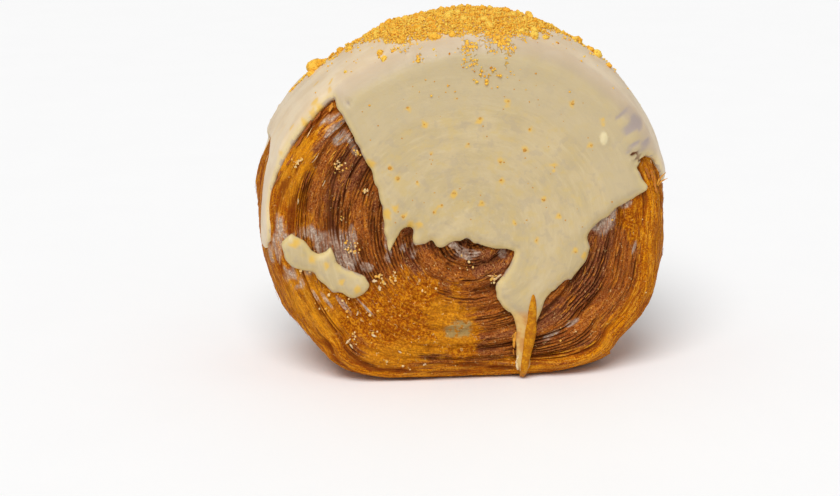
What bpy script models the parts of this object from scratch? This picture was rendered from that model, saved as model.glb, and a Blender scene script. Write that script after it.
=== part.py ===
"""Rolled croissant: a strip of laminated dough wound into a flat spiral and baked on its rim.

Three solids: the pastry roll, the icing poured over its top with the biscuit crumbs that
stick to it, and a separate smear of icing low on the front face.

Frame: +Z up, the roll stands on its flattened foot at z = 0, its axis runs along Y at
AXIS_HEIGHT, and the front spiral face looks along -Y. Units are metres.

The skin of the roll is drawn in a flat chart for each half. A chart point (x, z) lies at the
angle atan2(z, x) about the roll's axis, and its distance from the chart's origin is the
distance along the skin from the centre of that half's face: over the face, round the edge
and along the rim to the middle of the roll's thickness.
"""

import math
import random

import bmesh
import bpy
import numpy as np
from mathutils import Vector, geometry, noise

MM = 0.001

# --- The roll ---------------------------------------------------------------
THICKNESS = 45 * MM
AXIS_HEIGHT = 46 * MM
# Radius of the rim's middle about the axis, in millimetres, every 15 degrees from +X towards +Z.
TOP_RADII = [52.8, 50.5, 48.9, 46.8, 44.9, 43.1, 42.2, 42.1, 42.9, 44.6, 47.1, 49.8]
FOOT_RADII = [51.5, 52.9, 53.9, 55.0, 55.6, 56.2, 56.0, 56.4, 56.6, 57.5, 57.8, 54.1]
RIM_RADII = [r * MM for r in TOP_RADII + FOOT_RADII]
EDGE_ROUND = 5 * MM
BARREL = 4 * MM  # how much the rim swells from the edges to its middle
FACE_DOME = 1.2 * MM
FOOT_BLEND = 8 * MM  # rounding where the rim turns into the flat foot
FOOT_FADE = 6 * MM  # height over which swell and relief fade towards the foot
WEAR = 1.0 * MM  # slow unevenness of the whole skin
WEAR_SIZE = 15 * MM
# Places where the crust stands out of the rim: (angle in degrees, y, half width in degrees, half
# depth, lift), lengths in millimetres.
CRAGS = [
    (177, 8, 9, 13, 1.3), (211, -9, 11, 12, 0.9), (344, -10, 10, 9, 1.3), (333, 12, 9, 10, 1.1),
    (196, 16, 8, 8, 1.2), (22, 16, 12, 9, 0.8), (150, 16, 12, 9, 0.8),
]

# --- The winding, as it shows on the two faces ---------------------------------
TURNS = 6
ROWS_PER_TURN = 4
COLUMNS = 64
WINDING_CENTRE = (0 * MM, -9 * MM)  # chart point the strip is wound round
CORE_SHARE = 0.5  # the first turn starts this share of a pitch from the centre
ROUND_TURNS = 48 * MM  # radius that the inner turns follow, before they take the outline's shape
SEAM_DEPTHS = [d * MM for d in (1.5, 0.5, 0.0, 0.4)]  # seam between turns, then up to the crown
SEAM_SIZE = 12 * MM  # how far along a seam its depth changes

# --- The rim ---------------------------------------------------------------
EDGE_STEPS = 3
RIM_STEPS = 6
TAIL_ANGLE = math.radians(312)  # where the strip's end lies, low on the right
TAIL_RUN = math.radians(46)
TAIL_STEP = 2.0 * MM

# --- Icing -------------------------------------------------------------------
ICING_GAP = 0.35 * MM
EDGE_GAP = 0.4 * MM  # more room where facets cut the corner of the rounded edge
ICING_THICK = 1.6 * MM
ICING_LIP = 0.5 * MM  # thickness at the very edge
ICING_ROUND = 2.6 * MM  # width over which the edge rounds up to full thickness
ICING_SPACING = 4.3 * MM
OUTLINE_SPACING = 2.3 * MM
ARC_POINTS = 34  # where the two halves meet along the middle of the rim
# The icing's free edge crosses the middle of the rim at these two angles.
ICING_LEFT = math.radians(164)
ICING_RIGHT = math.radians(5)

# The icing's free edge on the front half, from the left crossing to the right one: chart
# corners in millimetres, with a smooth curve through them.
LEFT_RUN = [  # down the left of the rim to a long drip's tip, and back up along the edge of the face
    (-57.5, 14.5), (-56.2, 8), (-57, -1), (-57.8, -8), (-56.8, -13.4), (-52.6, -12.8),
    (-49.6, -7.5), (-50.4, -1), (-48.6, 6), (-45, 12.5), (-41, 19), (-37, 23.8), (-33.4, 27),
]
SHEET_EDGE = [  # down the left of the sheet on the face, then across under the middle, with short drips
    (-31.5, 24), (-28.2, 17.5), (-24.8, 10.5), (-22, 2.8), (-20.8, -4), (-19.6, -11.6),
    (-17.4, -7), (-14.4, -5.4), (-13.4, -9.4), (-11.6, -9.9), (-9.6, -8.9), (-7, -10.7),
    (-1.5, -8.4), (3, -10.4), (10.9, -12.1),
]
TONGUE = [  # the long tongue and the narrow tail of syrup under it
    (9.8, -17), (6.8, -20.8), (7.8, -25.4), (11.2, -29), (12.2, -34), (12.4, -40.5),
    (13.2, -44), (15, -43.6), (15.5, -40), (15.8, -35), (18, -29.4), (19.2, -25),
]
RIGHT_EDGE = [  # up the right of the sheet, and over the edge of the face to the rim
    (24, -20.3), (26.6, -19.4), (30.4, -13), (29.8, -8.6), (36, -2.9), (44.4, 2.4), (42, 7.6),
    (44.5, 10.5), (47.5, 9.5), (51, 5), (56, 2.5), (62, 2.8), (67, 5),
]
# Drips of the icing's free edge on the back half, left to right: (chart x, tip, half width, top on
# their right), millimetres.
BACK_DRIPS = [(-49, 2, 3.2, 10), (-31, -11, 3.8, 6), (-6, -19, 4.6, 3), (20, -6, 3.4, 5.5), (41, -12, 3.8, 8)]
# A drip's shape in half widths: heights of neck and bulb above the tip, breadth of neck and flare.
DRIP_NECK, DRIP_BULB = 2.4, 0.9
DRIP_WAIST, DRIP_FLARE = 0.85, 1.6
BAY_ROUND = 1.2  # millimetres that a bay's middle rises above its shoulders
BACK_END = (58, 4)
# The smear: a bar bent once, thinning to its lower right end.
SMEAR_SPINE = [(-42.5, -11.5), (-37, -14.5), (-31.5, -18.2), (-26.5, -20.3)]
SMEAR_WIDTHS = [5.0, 4.6, 3.4, 2.0]

# --- Biscuit crumbs, fused to the icing ---------------------------------------
CRUMB_SEED = 7
HEAP_SIZES = [r * MM for r in (1.5, 1.4, 1.3, 1.2, 1.2, 1.2)] + [1.0 * MM] * 26 + [0.85 * MM] * 44
HEAP_MIDDLE = math.radians(92)
HEAP_REACH = math.radians(29)
HEAP_DEPTHS = (-20.5 * MM, 20 * MM)  # how far the heap lies along Y
HEAP_SPACING = 1.05  # least distance between two crumbs' middles, in sums of their radii
LONE_CRUMBS = [  # (angle in degrees, y in mm, radius in mm), apart from the heap
    (140.5, 6, 2.2), (138.4, 3.8, 1.4), (142.5, 3.6, 1.1), (131, 3, 1.2), (128, -2, 1.0), (49.5, 0.8, 1.2),
    (51, -1.2, 0.9), (43.5, -4, 1.3), (45.4, -3, 0.9), (39, -5.8, 0.9),
]
CRUMB_JITTER = 0.28
CRUMB_SUNK = 0.35  # share of its radius that a crumb is sunk in the bed
CRUMB_BED = 0.9 * MM  # how much the fine crumbs between them raise the icing

CHART_STEP = 0.2 * MM  # for slopes of the skin
SHARP_ANGLE = 40
FRONT, BACK = -1, 1


# --- Shape of the skin ----------------------------------------------------------

def through(values, theta):
    """A smooth closed curve through values spaced evenly round the circle, read at theta."""
    values = np.asarray(values)
    count = len(values)
    place = (np.asarray(theta) / (2 * math.pi) * count) % count
    first = np.floor(place).astype(int)
    t = place - first
    a, b, c, d = (values[(first + k) % count] for k in (-1, 0, 1, 2))
    return spline(a, b, c, d, t)


def spline(a, b, c, d, t):
    """The Catmull-Rom curve from b to c, read at t from 0 to 1."""
    cubic = (2 * a - 5 * b + 4 * c - d) * t**2 + (3 * b - 3 * c + d - a) * t**3
    return 0.5 * (2 * b + (c - a) * t + cubic)


def smooth_min(a, b, width):
    """The smaller of a and b, rounded where they are within width of each other."""
    share = np.clip(0.5 + 0.5 * (b - a) / width, 0, 1)
    return b * (1 - share) + a * share - width * share * (1 - share)


def rim_radius(theta):
    """Radius of the rim's middle: the baked outline, cut flat by the surface it stands on."""
    down = np.maximum(-np.sin(theta), 0.05)
    return smooth_min(through(RIM_RADII, theta), AXIS_HEIGHT / down, FOOT_BLEND)


def foot_share(theta):
    """1 on the flat foot, 0 well above it."""
    height = AXIS_HEIGHT + rim_radius(theta) * np.sin(theta)
    return np.clip(1 - height / FOOT_FADE, 0, 1)


def swell(y, theta):
    """How far the rim is drawn in at y, against its middle."""
    return BARREL * (2 * y / THICKNESS) ** 2 * (1 - foot_share(theta))


def face_radius(theta):
    """Radius at which the flat face ends and the rounded edge starts."""
    return rim_radius(theta) - EDGE_ROUND - swell(THICKNESS / 2, theta)


def mid_rim(theta):
    """Chart distance of the middle of the rim."""
    return face_radius(theta) + EDGE_ROUND * math.pi / 2 + THICKNESS / 2 - EDGE_ROUND


def smooth_skin(chart, side):
    """Points of the skin, before wear, for an array of chart points on the front or the back half."""
    rho = np.hypot(chart[:, 0], chart[:, 1])
    theta = np.arctan2(chart[:, 1], chart[:, 0])
    flat = face_radius(theta)
    turn = np.clip((rho - flat) / EDGE_ROUND, 0, math.pi / 2)
    along = np.maximum(rho - flat - EDGE_ROUND * math.pi / 2, 0)
    depth = THICKNESS / 2 - EDGE_ROUND * (1 - np.cos(turn)) - along
    dome = FACE_DOME * np.clip(1 - (rho / flat) ** 2, 0, 1)
    edge = rim_radius(theta) - EDGE_ROUND * (1 - np.sin(turn)) - swell(depth, theta)
    radius = np.where(rho < flat, rho, edge)
    return np.stack(
        [radius * np.cos(theta), side * (depth + dome), AXIS_HEIGHT + radius * np.sin(theta)], axis=1
    )


def wave(points, size):
    """Smooth unevenness from 0 to 1 at each point."""
    return np.array([0.5 + 0.5 * noise.noise(Vector(p) / size) for p in points])


def bump(distance):
    """1 in the middle, falling smoothly to 0 at a distance of 1."""
    return (1 - np.clip(np.abs(distance), 0, 1) ** 2) ** 2


def crag_lift(points):
    """How far the crust stands out of the rim at each point."""
    theta = np.degrees(np.arctan2(points[:, 2] - AXIS_HEIGHT, points[:, 0]))
    lift = np.zeros(len(points))
    for angle, y, width, depth, height in CRAGS:
        turn = (theta - angle + 180) % 360 - 180
        lift += height * MM * bump(turn / width) * bump((points[:, 1] / MM - y) / depth)
    radius = np.hypot(points[:, 0], points[:, 2] - AXIS_HEIGHT)
    on_rim = np.clip((radius - face_radius(np.radians(theta))) / EDGE_ROUND, 0, 1)
    return lift * on_rim


def skin(chart, side):
    """Points of the skin at chart points, and its outward unit normals."""
    across = np.array([CHART_STEP, 0])
    up = np.array([0, CHART_STEP])
    run_x = smooth_skin(chart + across, side) - smooth_skin(chart - across, side)
    run_z = smooth_skin(chart + up, side) - smooth_skin(chart - up, side)
    normals = np.cross(run_x, run_z) * -side
    normals /= np.linalg.norm(normals, axis=1)[:, None]
    points = smooth_skin(chart, side)
    theta = np.arctan2(chart[:, 1], chart[:, 0])
    moved = (crag_lift(points) - WEAR * wave(points, WEAR_SIZE)) * (1 - foot_share(theta))
    return points + normals * moved[:, None], normals


def polar(rho, theta):
    return np.stack([rho * np.cos(theta), rho * np.sin(theta)], axis=-1)


# --- Building blocks ------------------------------------------------------------

def material(name, colour, roughness):
    made = bpy.data.materials.new(name)
    made.use_nodes = True
    shader = made.node_tree.nodes["Principled BSDF"]
    shader.inputs["Base Color"].default_value = (*colour, 1)
    shader.inputs["Roughness"].default_value = roughness
    shader.inputs["Metallic"].default_value = 0
    return made


def add_object(name, points, faces, finish):
    mesh = bpy.data.meshes.new(name)
    mesh.from_pydata([tuple(p) for p in points], [], faces)
    mesh.validate()
    made = bpy.data.objects.new(name, mesh)
    made.data.materials.append(finish)
    bpy.context.scene.collection.objects.link(made)
    return made


# --- The pastry roll ------------------------------------------------------------

def face_rows():
    """The number of the last full row on a face; the rows after it hold its end point alone."""
    return (TURNS - 1) * ROWS_PER_TURN


def winding_point(share, theta):
    """Chart points at a share of the way from the winding's centre to the edge of the face."""
    reach = ROUND_TURNS + (face_radius(theta) - ROUND_TURNS) * share**3
    return np.outer(1 - share, WINDING_CENTRE) + polar(share * reach, theta)


def face_points(side):
    """Points of one face on rows that follow the winding, so that a row stays on its seam or crown.

    Row q, column c lies at (CORE_SHARE + q / ROWS_PER_TURN + c / COLUMNS) pitches from the centre.
    Past the last column a row goes on as row q + ROWS_PER_TURN.
    """
    last = face_rows()
    pitches = CORE_SHARE + last / ROWS_PER_TURN + 1
    index, share, theta, depth = {}, [], [], []
    for q in range(last + ROWS_PER_TURN + 1):
        for c in range(COLUMNS if q <= last else 1):
            index[q, c] = len(share)
            share.append((CORE_SHARE + q / ROWS_PER_TURN + c / COLUMNS) / pitches)
            theta.append(2 * math.pi * c / COLUMNS)
            depth.append(SEAM_DEPTHS[q % ROWS_PER_TURN])
    share, theta, depth = np.array(share), np.array(theta), np.array(depth)
    points, normals = skin(winding_point(share, theta), side)
    depth *= 0.5 + wave(points, SEAM_SIZE)
    # the seam closes up where the last turn runs out into the edge
    depth *= np.clip(8 * (1 - share), 0, 1)
    return index, points - normals * depth[:, None]


def face_faces(index, centre, ring):
    """Faces between the centre point, the winding rows and the ring of points at the face's edge."""
    last = face_rows()

    def at(q, c):
        return index[q, c] if c < COLUMNS else index[q + ROWS_PER_TURN, c - COLUMNS]

    faces = []
    core = [at(0, c) for c in range(COLUMNS)] + [index[q, 0] for q in range(ROWS_PER_TURN, 0, -1)]
    for first, second in zip(core, core[1:] + core[:1]):
        faces.append((centre, first, second))
    for q in range(last):
        for c in range(COLUMNS):
            faces.append((at(q, c), at(q + 1, c), at(q + 1, c + 1), at(q, c + 1)))
    # The outermost strip tapers to nothing at the last column, where its row meets the ring.
    inner_steps = [index[q, 0] for q in range(last + ROWS_PER_TURN - 1, last, -1)]
    faces.append((at(last, 0), *reversed(inner_steps), ring[0], ring[1], at(last, 1)))
    for c in range(1, COLUMNS - 1):
        faces.append((at(last, c), ring[c], ring[c + 1], at(last, c + 1)))
    faces.append((at(last, COLUMNS - 1), ring[COLUMNS - 1], ring[0]))
    return faces


def tail_lift(theta, depth):
    """Extra radius where the strip's end lies on the rim: a slow rise, then a sudden step."""
    run = (TAIL_ANGLE - theta) / TAIL_RUN
    rise = np.where((run >= 0) & (run < 1), 1 - run, 0.0)
    inside = np.clip((THICKNESS / 2 - EDGE_ROUND - np.abs(depth)) / EDGE_ROUND, 0, 1)
    return TAIL_STEP * rise * inside


def rim_rings():
    """Rings of points from the front face's edge round the rim to the back face's edge."""
    theta = 2 * math.pi * np.arange(COLUMNS) / COLUMNS
    flat, middle = face_radius(theta), mid_rim(theta)
    edge_end = flat + EDGE_ROUND * math.pi / 2
    half = [flat + (edge_end - flat) * k / EDGE_STEPS for k in range(EDGE_STEPS + 1)]
    half += [edge_end + (middle - edge_end) * k * 2 / RIM_STEPS for k in range(1, RIM_STEPS // 2 + 1)]
    rings = []
    for side, rows in ((FRONT, half), (BACK, half[-2::-1])):
        for rho in rows:
            chart = polar(rho, theta)
            points, normals = skin(chart, side)
            moved = points + normals * tail_lift(theta, points[:, 1])[:, None]
            moved[:, 2] = np.maximum(moved[:, 2], 0)
            rings.append(moved)
    return rings


def pastry_roll(finish):
    points, faces = [], []

    def add(rows):
        start = len(points)
        points.extend(rows)
        return start

    rings = [[add([p]) for p in ring] for ring in rim_rings()]
    for first, second in zip(rings, rings[1:]):
        for c in range(COLUMNS):
            d = (c + 1) % COLUMNS
            faces.append((first[c], second[c], second[d], first[d]))
    for side, ring in ((FRONT, rings[0]), (BACK, rings[-1])):
        index, rows = face_points(side)
        start = add(rows)
        centre = add(skin(np.array([WINDING_CENTRE]), side)[0])
        # the last point of the winding is the ring's first point
        last = face_rows() + ROWS_PER_TURN
        index = {key: start + value for key, value in index.items()}
        index[last, 0] = ring[0]
        made = face_faces(index, centre, ring)
        faces += made if side == FRONT else [tuple(reversed(f)) for f in made]
    roll = add_object("pastry", points, faces, finish)
    tidy(roll)
    return roll


def tidy(made):
    """Drops unused points, closes seams and points the faces outwards."""
    mesh = bmesh.new()
    mesh.from_mesh(made.data)
    bmesh.ops.remove_doubles(mesh, verts=mesh.verts, dist=1e-6)
    bmesh.ops.delete(mesh, geom=[v for v in mesh.verts if not v.link_faces], context="VERTS")
    bmesh.ops.recalc_face_normals(mesh, faces=mesh.faces)
    mesh.to_mesh(made.data)
    mesh.free()


# --- Icing ---------------------------------------------------------------------

def smooth_outline(corners, spacing, closed):
    """Points about spacing apart on a smooth curve through the corners."""
    p = np.array(corners)
    count = len(p)
    made = []
    for k in range(count if closed else count - 1):
        ends = [k - 1, k, k + 1, k + 2]
        ends = [e % count for e in ends] if closed else [min(max(e, 0), count - 1) for e in ends]
        a, b, c, d = p[ends]
        steps = max(1, round(np.linalg.norm(c - b) / spacing))
        made += [spline(a, b, c, d, t) for t in np.arange(steps) / steps]
    return np.array(made if closed else made + [p[-1]])


def distance_to(line, points, closed):
    """Distance from each point to a polyline."""
    ends = np.roll(line, -1, axis=0) if closed else line[1:]
    starts = line if closed else line[:-1]
    run = ends - starts
    best = np.full(len(points), np.inf)
    for a, d in zip(starts, run):
        t = np.clip((points - a) @ d / max(d @ d, 1e-18), 0, 1)
        best = np.minimum(best, np.linalg.norm(points - a - t[:, None] * d, axis=1))
    return best


def inside(loop, points):
    """Which points a closed loop holds."""
    found = np.zeros(len(points), bool)
    for a, b in zip(loop, np.roll(loop, -1, axis=0)):
        crosses = (a[1] > points[:, 1]) != (b[1] > points[:, 1])
        with np.errstate(divide="ignore", invalid="ignore"):
            x = a[0] + (points[:, 1] - a[1]) * (b[0] - a[0]) / (b[1] - a[1])
        found ^= crosses & (points[:, 0] < x)
    return found


def chart_grid(spacing):
    """Chart points spacing apart: rows over the face, then rings round its edge and along the rim."""
    reach = np.arange(-max(RIM_RADII), max(RIM_RADII), spacing)
    rows = reach * math.sqrt(3) / 2
    grid = np.array([(x + spacing / 2 * (k % 2), z) for k, z in enumerate(rows) for x in reach])
    flat = face_radius(np.arctan2(grid[:, 1], grid[:, 0]))
    grid = grid[np.hypot(grid[:, 0], grid[:, 1]) < flat - 1.5 * spacing]
    theta = np.linspace(0, 2 * math.pi, round(2 * math.pi * AXIS_HEIGHT / spacing), endpoint=False)
    bend = EDGE_ROUND * math.pi / 2
    offsets = [-0.8 * spacing, *np.linspace(0, bend, EDGE_STEPS + 1)]
    offsets += list(np.arange(bend + spacing, bend + THICKNESS / 2 - EDGE_ROUND, spacing))
    rings = [polar(face_radius(theta) + offset, theta) for offset in offsets]
    return np.concatenate([grid, *rings])


def fill(loop, spacing):
    """Triangles over the inside of a loop of chart points."""
    grid = chart_grid(spacing)
    grid = grid[inside(loop, grid)]
    grid = grid[distance_to(loop, grid, closed=True) > 0.5 * spacing]
    points = [Vector(p) for p in (*loop, *grid)]
    edges = [(k, (k + 1) % len(loop)) for k in range(len(loop))]
    made = geometry.delaunay_2d_cdt(points, edges, [], 1, 1e-9)
    return np.array([tuple(p) for p in made[0]]), [tuple(f) for f in made[2]]


def heap_share(points):
    """1 in the middle of the heap of crumbs, 0 clear of it."""
    theta = np.arctan2(points[:, 2] - AXIS_HEIGHT, points[:, 0])
    radius = np.hypot(points[:, 0], points[:, 2] - AXIS_HEIGHT)
    on_rim = np.clip((radius - face_radius(theta)) / EDGE_ROUND, 0, 1)
    return np.clip(3 - 3 * np.abs(theta - HEAP_MIDDLE) / HEAP_REACH, 0, 1) * on_rim


def icing_height(edge_distance, points):
    """Thickness of the icing: a rounded edge, full inside, raised under the heap of crumbs."""
    rise = np.clip(edge_distance / ICING_ROUND, 0, 1)
    height = ICING_LIP + (ICING_THICK - ICING_LIP) * np.sqrt(1 - (1 - rise) ** 2)
    return height + CRUMB_BED * heap_share(points) * rise * (0.4 + wave(points, ICING_SPACING))


def sheet_half(loop, free_edge, side, closed):
    """Lower and upper points of a sheet of icing over one half of the skin, and its triangles."""
    chart, faces = fill(loop, ICING_SPACING)
    base, normals = skin(chart, side)
    rho = np.hypot(chart[:, 0], chart[:, 1])
    theta = np.arctan2(chart[:, 1], chart[:, 0])
    bend = (rho - face_radius(theta)) / (EDGE_ROUND * math.pi / 2)
    gap = ICING_GAP + EDGE_GAP * np.clip(2 - np.abs(4 * bend - 2), 0, 1)
    low = base + normals * gap[:, None]
    height = icing_height(distance_to(free_edge, chart, closed), base)
    high = low + normals * height[:, None]
    return low, high, faces


def sheet_solid(name, halves, finish):
    """One closed solid from the lower and upper points of a sheet's halves."""
    points, faces = [], []
    for low, high, triangles in halves:
        start, count = len(points), len(low)
        points += [*low, *high]
        for a, b, c in triangles:
            faces.append((start + a, start + b, start + c))
            faces.append((start + count + c, start + count + b, start + count + a))
    made = add_object(name, points, faces, finish)
    mesh = bmesh.new()
    mesh.from_mesh(made.data)
    bmesh.ops.remove_doubles(mesh, verts=mesh.verts, dist=1e-6)
    bmesh.ops.bridge_loops(mesh, edges=[e for e in mesh.edges if e.is_boundary])
    mesh.to_mesh(made.data)
    mesh.free()
    tidy(made)
    return made


def back_edge():
    """Chart corners of the icing's free edge on the back: drips with round tips, and bays between."""
    corners = []
    following = [(x, half) for x, _, half, _ in BACK_DRIPS[1:]] + [(BACK_END[0], 0)]
    for (x, tip, half, top), (right, next_half) in zip(BACK_DRIPS, following):
        neck, bulb = tip + DRIP_NECK * half, tip + DRIP_BULB * half
        corners += [(x - DRIP_WAIST * half, neck), (x - half, bulb), (x, tip), (x + half, bulb)]
        corners += [(x + DRIP_WAIST * half, neck), (x + DRIP_FLARE * half, top - BAY_ROUND)]
        corners += [((x + right) / 2, top), (right - DRIP_FLARE * next_half, top - BAY_ROUND)]
    return [*corners[:-2], BACK_END]


def icing_sheet(finish):
    fan = np.linspace(ICING_RIGHT, ICING_LEFT, ARC_POINTS)
    arc = polar(mid_rim(fan), fan)
    halves = []
    front_edge = LEFT_RUN + SHEET_EDGE + TONGUE + RIGHT_EDGE
    for side, corners in ((FRONT, front_edge), (BACK, back_edge())):
        edge = smooth_outline([arc[-1], *(np.array(corners) * MM), arc[0]], OUTLINE_SPACING, closed=False)
        loop = np.concatenate([edge, arc[1:-1]])
        halves.append(sheet_half(loop, edge, side, closed=False))
    return sheet_solid("icing", halves, finish)


def icing_smear(finish):
    spine, widths = np.array(SMEAR_SPINE) * MM, np.array(SMEAR_WIDTHS) * MM
    run = np.gradient(spine, axis=0)
    across = np.stack([-run[:, 1], run[:, 0]], axis=1) / np.linalg.norm(run, axis=1)[:, None]
    upper, lower = spine + across * widths[:, None], spine - across * widths[:, None]
    loop = smooth_outline(np.concatenate([upper, lower[::-1]]), OUTLINE_SPACING, closed=True)
    return sheet_solid("icing_smear", [sheet_half(loop, loop, FRONT, closed=True)], finish)


# --- Crumbs ---------------------------------------------------------------------

def crumb_places():
    """(angle, y, radius) of each crumb: largest first, each kept off the ones before it."""
    draw = random.Random(CRUMB_SEED)
    places = [(math.radians(a), y * MM, r * MM) for a, y, r in LONE_CRUMBS]
    for radius in HEAP_SIZES:
        for _ in range(400):
            angle = HEAP_MIDDLE + HEAP_REACH * draw.uniform(-1, 1)
            y = draw.uniform(*HEAP_DEPTHS)
            gaps = [math.hypot((angle - a) * AXIS_HEIGHT, y - b) / (radius + r) for a, b, r in places]
            if min(gaps) > HEAP_SPACING:
                places.append((angle, y, radius))
                break
    return places


def add_crumb(number, angle, y, radius, group):
    """A small uneven lump with its middle in the icing's upper surface."""
    side = FRONT if y < 0 else BACK
    middle = mid_rim(angle)
    chart = polar(np.array([middle - abs(y)]), np.array([angle]))
    points, normals = skin(chart, side)
    lift = ICING_GAP + ICING_THICK + radius * (0.5 - CRUMB_SUNK)
    lift += CRUMB_BED * float(heap_share(points)[0]) / 2
    centre = points[0] + normals[0] * lift
    draw = random.Random(CRUMB_SEED * 1000 + number)
    mesh = bmesh.new()
    bmesh.ops.create_icosphere(mesh, subdivisions=1, radius=radius)
    for vertex in mesh.verts:
        vertex.co *= 1 + draw.uniform(-CRUMB_JITTER, CRUMB_JITTER)
        vertex.co += Vector(centre)
    data = bpy.data.meshes.new(f"crumb_{number}")
    mesh.to_mesh(data)
    mesh.free()
    group.objects.link(bpy.data.objects.new(data.name, data))


def fuse_crumbs(icing):
    group = bpy.data.collections.new("crumbs")
    bpy.context.scene.collection.children.link(group)
    for number, (angle, y, radius) in enumerate(crumb_places()):
        add_crumb(number, angle, y, radius, group)
    union = icing.modifiers.new("crumbs", "BOOLEAN")
    union.operation = "UNION"
    union.operand_type = "COLLECTION"
    union.collection = group
    union.solver = "EXACT"
    bpy.context.view_layer.objects.active = icing
    bpy.ops.object.modifier_apply(modifier=union.name)
    for crumb in list(group.objects):
        bpy.data.objects.remove(crumb)
    bpy.data.collections.remove(group)


def main():
    for old in list(bpy.data.objects):
        bpy.data.objects.remove(old)
    roll = pastry_roll(material("crust", (0.42, 0.17, 0.045), 0.55))
    smear = icing_smear(material("smeared_icing", (0.82, 0.72, 0.48), 0.4))
    icing = icing_sheet(material("poured_icing", (0.80, 0.70, 0.50), 0.35))
    fuse_crumbs(icing)
    for made in (roll, smear, icing):
        made.data.shade_smooth()
        made.data.set_sharp_from_angle(angle=math.radians(SHARP_ANGLE))


main()
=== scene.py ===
"""Dresses the rolled croissant: flaky crust, poured icing, glaze film, syrup and biscuit crumbs.

The roll's skin is the same as the solids': a flat chart for each half, whose point (x, z) lies at
the angle atan2(z, x) about the roll's axis, at that distance along the skin from the centre of the
half's face. Sizes are in metres, and lists marked as millimetres are scaled by MM.
"""

import math
import random

import bmesh
import bpy
import numpy as np
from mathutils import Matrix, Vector, geometry, noise


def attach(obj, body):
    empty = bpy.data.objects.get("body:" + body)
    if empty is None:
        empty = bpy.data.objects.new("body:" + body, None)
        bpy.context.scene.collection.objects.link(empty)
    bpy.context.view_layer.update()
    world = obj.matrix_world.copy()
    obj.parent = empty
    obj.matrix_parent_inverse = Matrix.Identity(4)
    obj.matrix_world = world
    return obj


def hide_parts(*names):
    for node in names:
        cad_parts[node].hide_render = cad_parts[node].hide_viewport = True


MM = 0.001
FRONT, BACK = -1, 1
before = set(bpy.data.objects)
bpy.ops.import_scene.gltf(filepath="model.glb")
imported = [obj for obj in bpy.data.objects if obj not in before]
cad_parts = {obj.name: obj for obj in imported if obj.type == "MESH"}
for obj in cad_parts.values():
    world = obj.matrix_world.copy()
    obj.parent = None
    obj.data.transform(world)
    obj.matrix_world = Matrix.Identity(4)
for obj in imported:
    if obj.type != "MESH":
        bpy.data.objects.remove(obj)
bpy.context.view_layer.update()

# --- The roll, as in the solids ---
THICKNESS = 45 * MM
AXIS_HEIGHT = 46 * MM
TOP_RADII = [52.8, 50.5, 48.9, 46.8, 44.9, 43.1, 42.2, 42.1, 42.9, 44.6, 47.1, 49.8]
FOOT_RADII = [51.5, 52.9, 53.9, 55.0, 55.6, 56.2, 56.0, 56.4, 56.6, 57.5, 57.8, 54.1]
RIM_RADII = [r * MM for r in TOP_RADII + FOOT_RADII]
EDGE_ROUND = 5 * MM
BARREL = 4 * MM
FACE_DOME = 1.2 * MM
FOOT_BLEND = 8 * MM
FOOT_FADE = 6 * MM
WEAR = 1.0 * MM
WEAR_SIZE = 15 * MM
# Raised places of the rim: (angle, y, half width, half depth, height), angles in degrees and the rest
# in millimetres.
CRAGS = [
    (177, 8, 9, 13, 1.3), (211, -9, 11, 12, 0.9), (344, -10, 10, 9, 1.3), (333, 12, 9, 10, 1.1),
    (196, 16, 8, 8, 1.2), (22, 16, 12, 9, 0.8), (150, 16, 12, 9, 0.8),
]
WINDING_CENTRE = (0 * MM, -9 * MM)
PITCHES = 6.5
SEAM_START = 0.5  # turns
ROUND_TURNS = 48 * MM
SEAM_DEPTHS = [d * MM for d in (1.5, 0.5, 0.0, 0.4)]
SEAM_SIZE = 12 * MM
TAIL_ANGLE = math.radians(312)
TAIL_RUN = math.radians(46)
TAIL_STEP = 2.0 * MM
CHART_STEP = 0.2 * MM
# Along the skin from the face's edge to the middle of the rim.
RIM_SPAN = EDGE_ROUND * math.pi / 2 + THICKNESS / 2 - EDGE_ROUND

# --- Fine relief of the crust ---
COLUMNS = 320
FACE_ROWS = {FRONT: 152, BACK: 108}
RIM_ROWS = 46
LAYERS = 8  # dough layers in each turn
LAYER_GROOVE = 0.2  # half the width of the groove between two layers, as a share of a layer
LAYER_DEPTH = 0.75 * MM
BAND_DEPTH = 0.5 * MM
FLOW_STRETCH = 5  # how much longer streaks are along the winding than across it
FLOW_RADIUS = 30  # millimetres from the axis at which the streaks' length is measured
FLOW_RIM = 26  # millimetres that the streaks' coordinate grows over half the rim
SIDE_SHIFT = 40  # keeps the streaks of the two faces apart
CHIP_DEPTH = 0.4 * MM
CRUMBLE = 0.75 * MM
FILM_DEPTH = 0.12 * MM
SHADE_DEPTH = 0.5 * MM
EDGE_GOLD = 0.86
LOWER_RIGHT = (-50, 22)  # the angle and half width, in degrees, of the rim's less golden stretch

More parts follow.
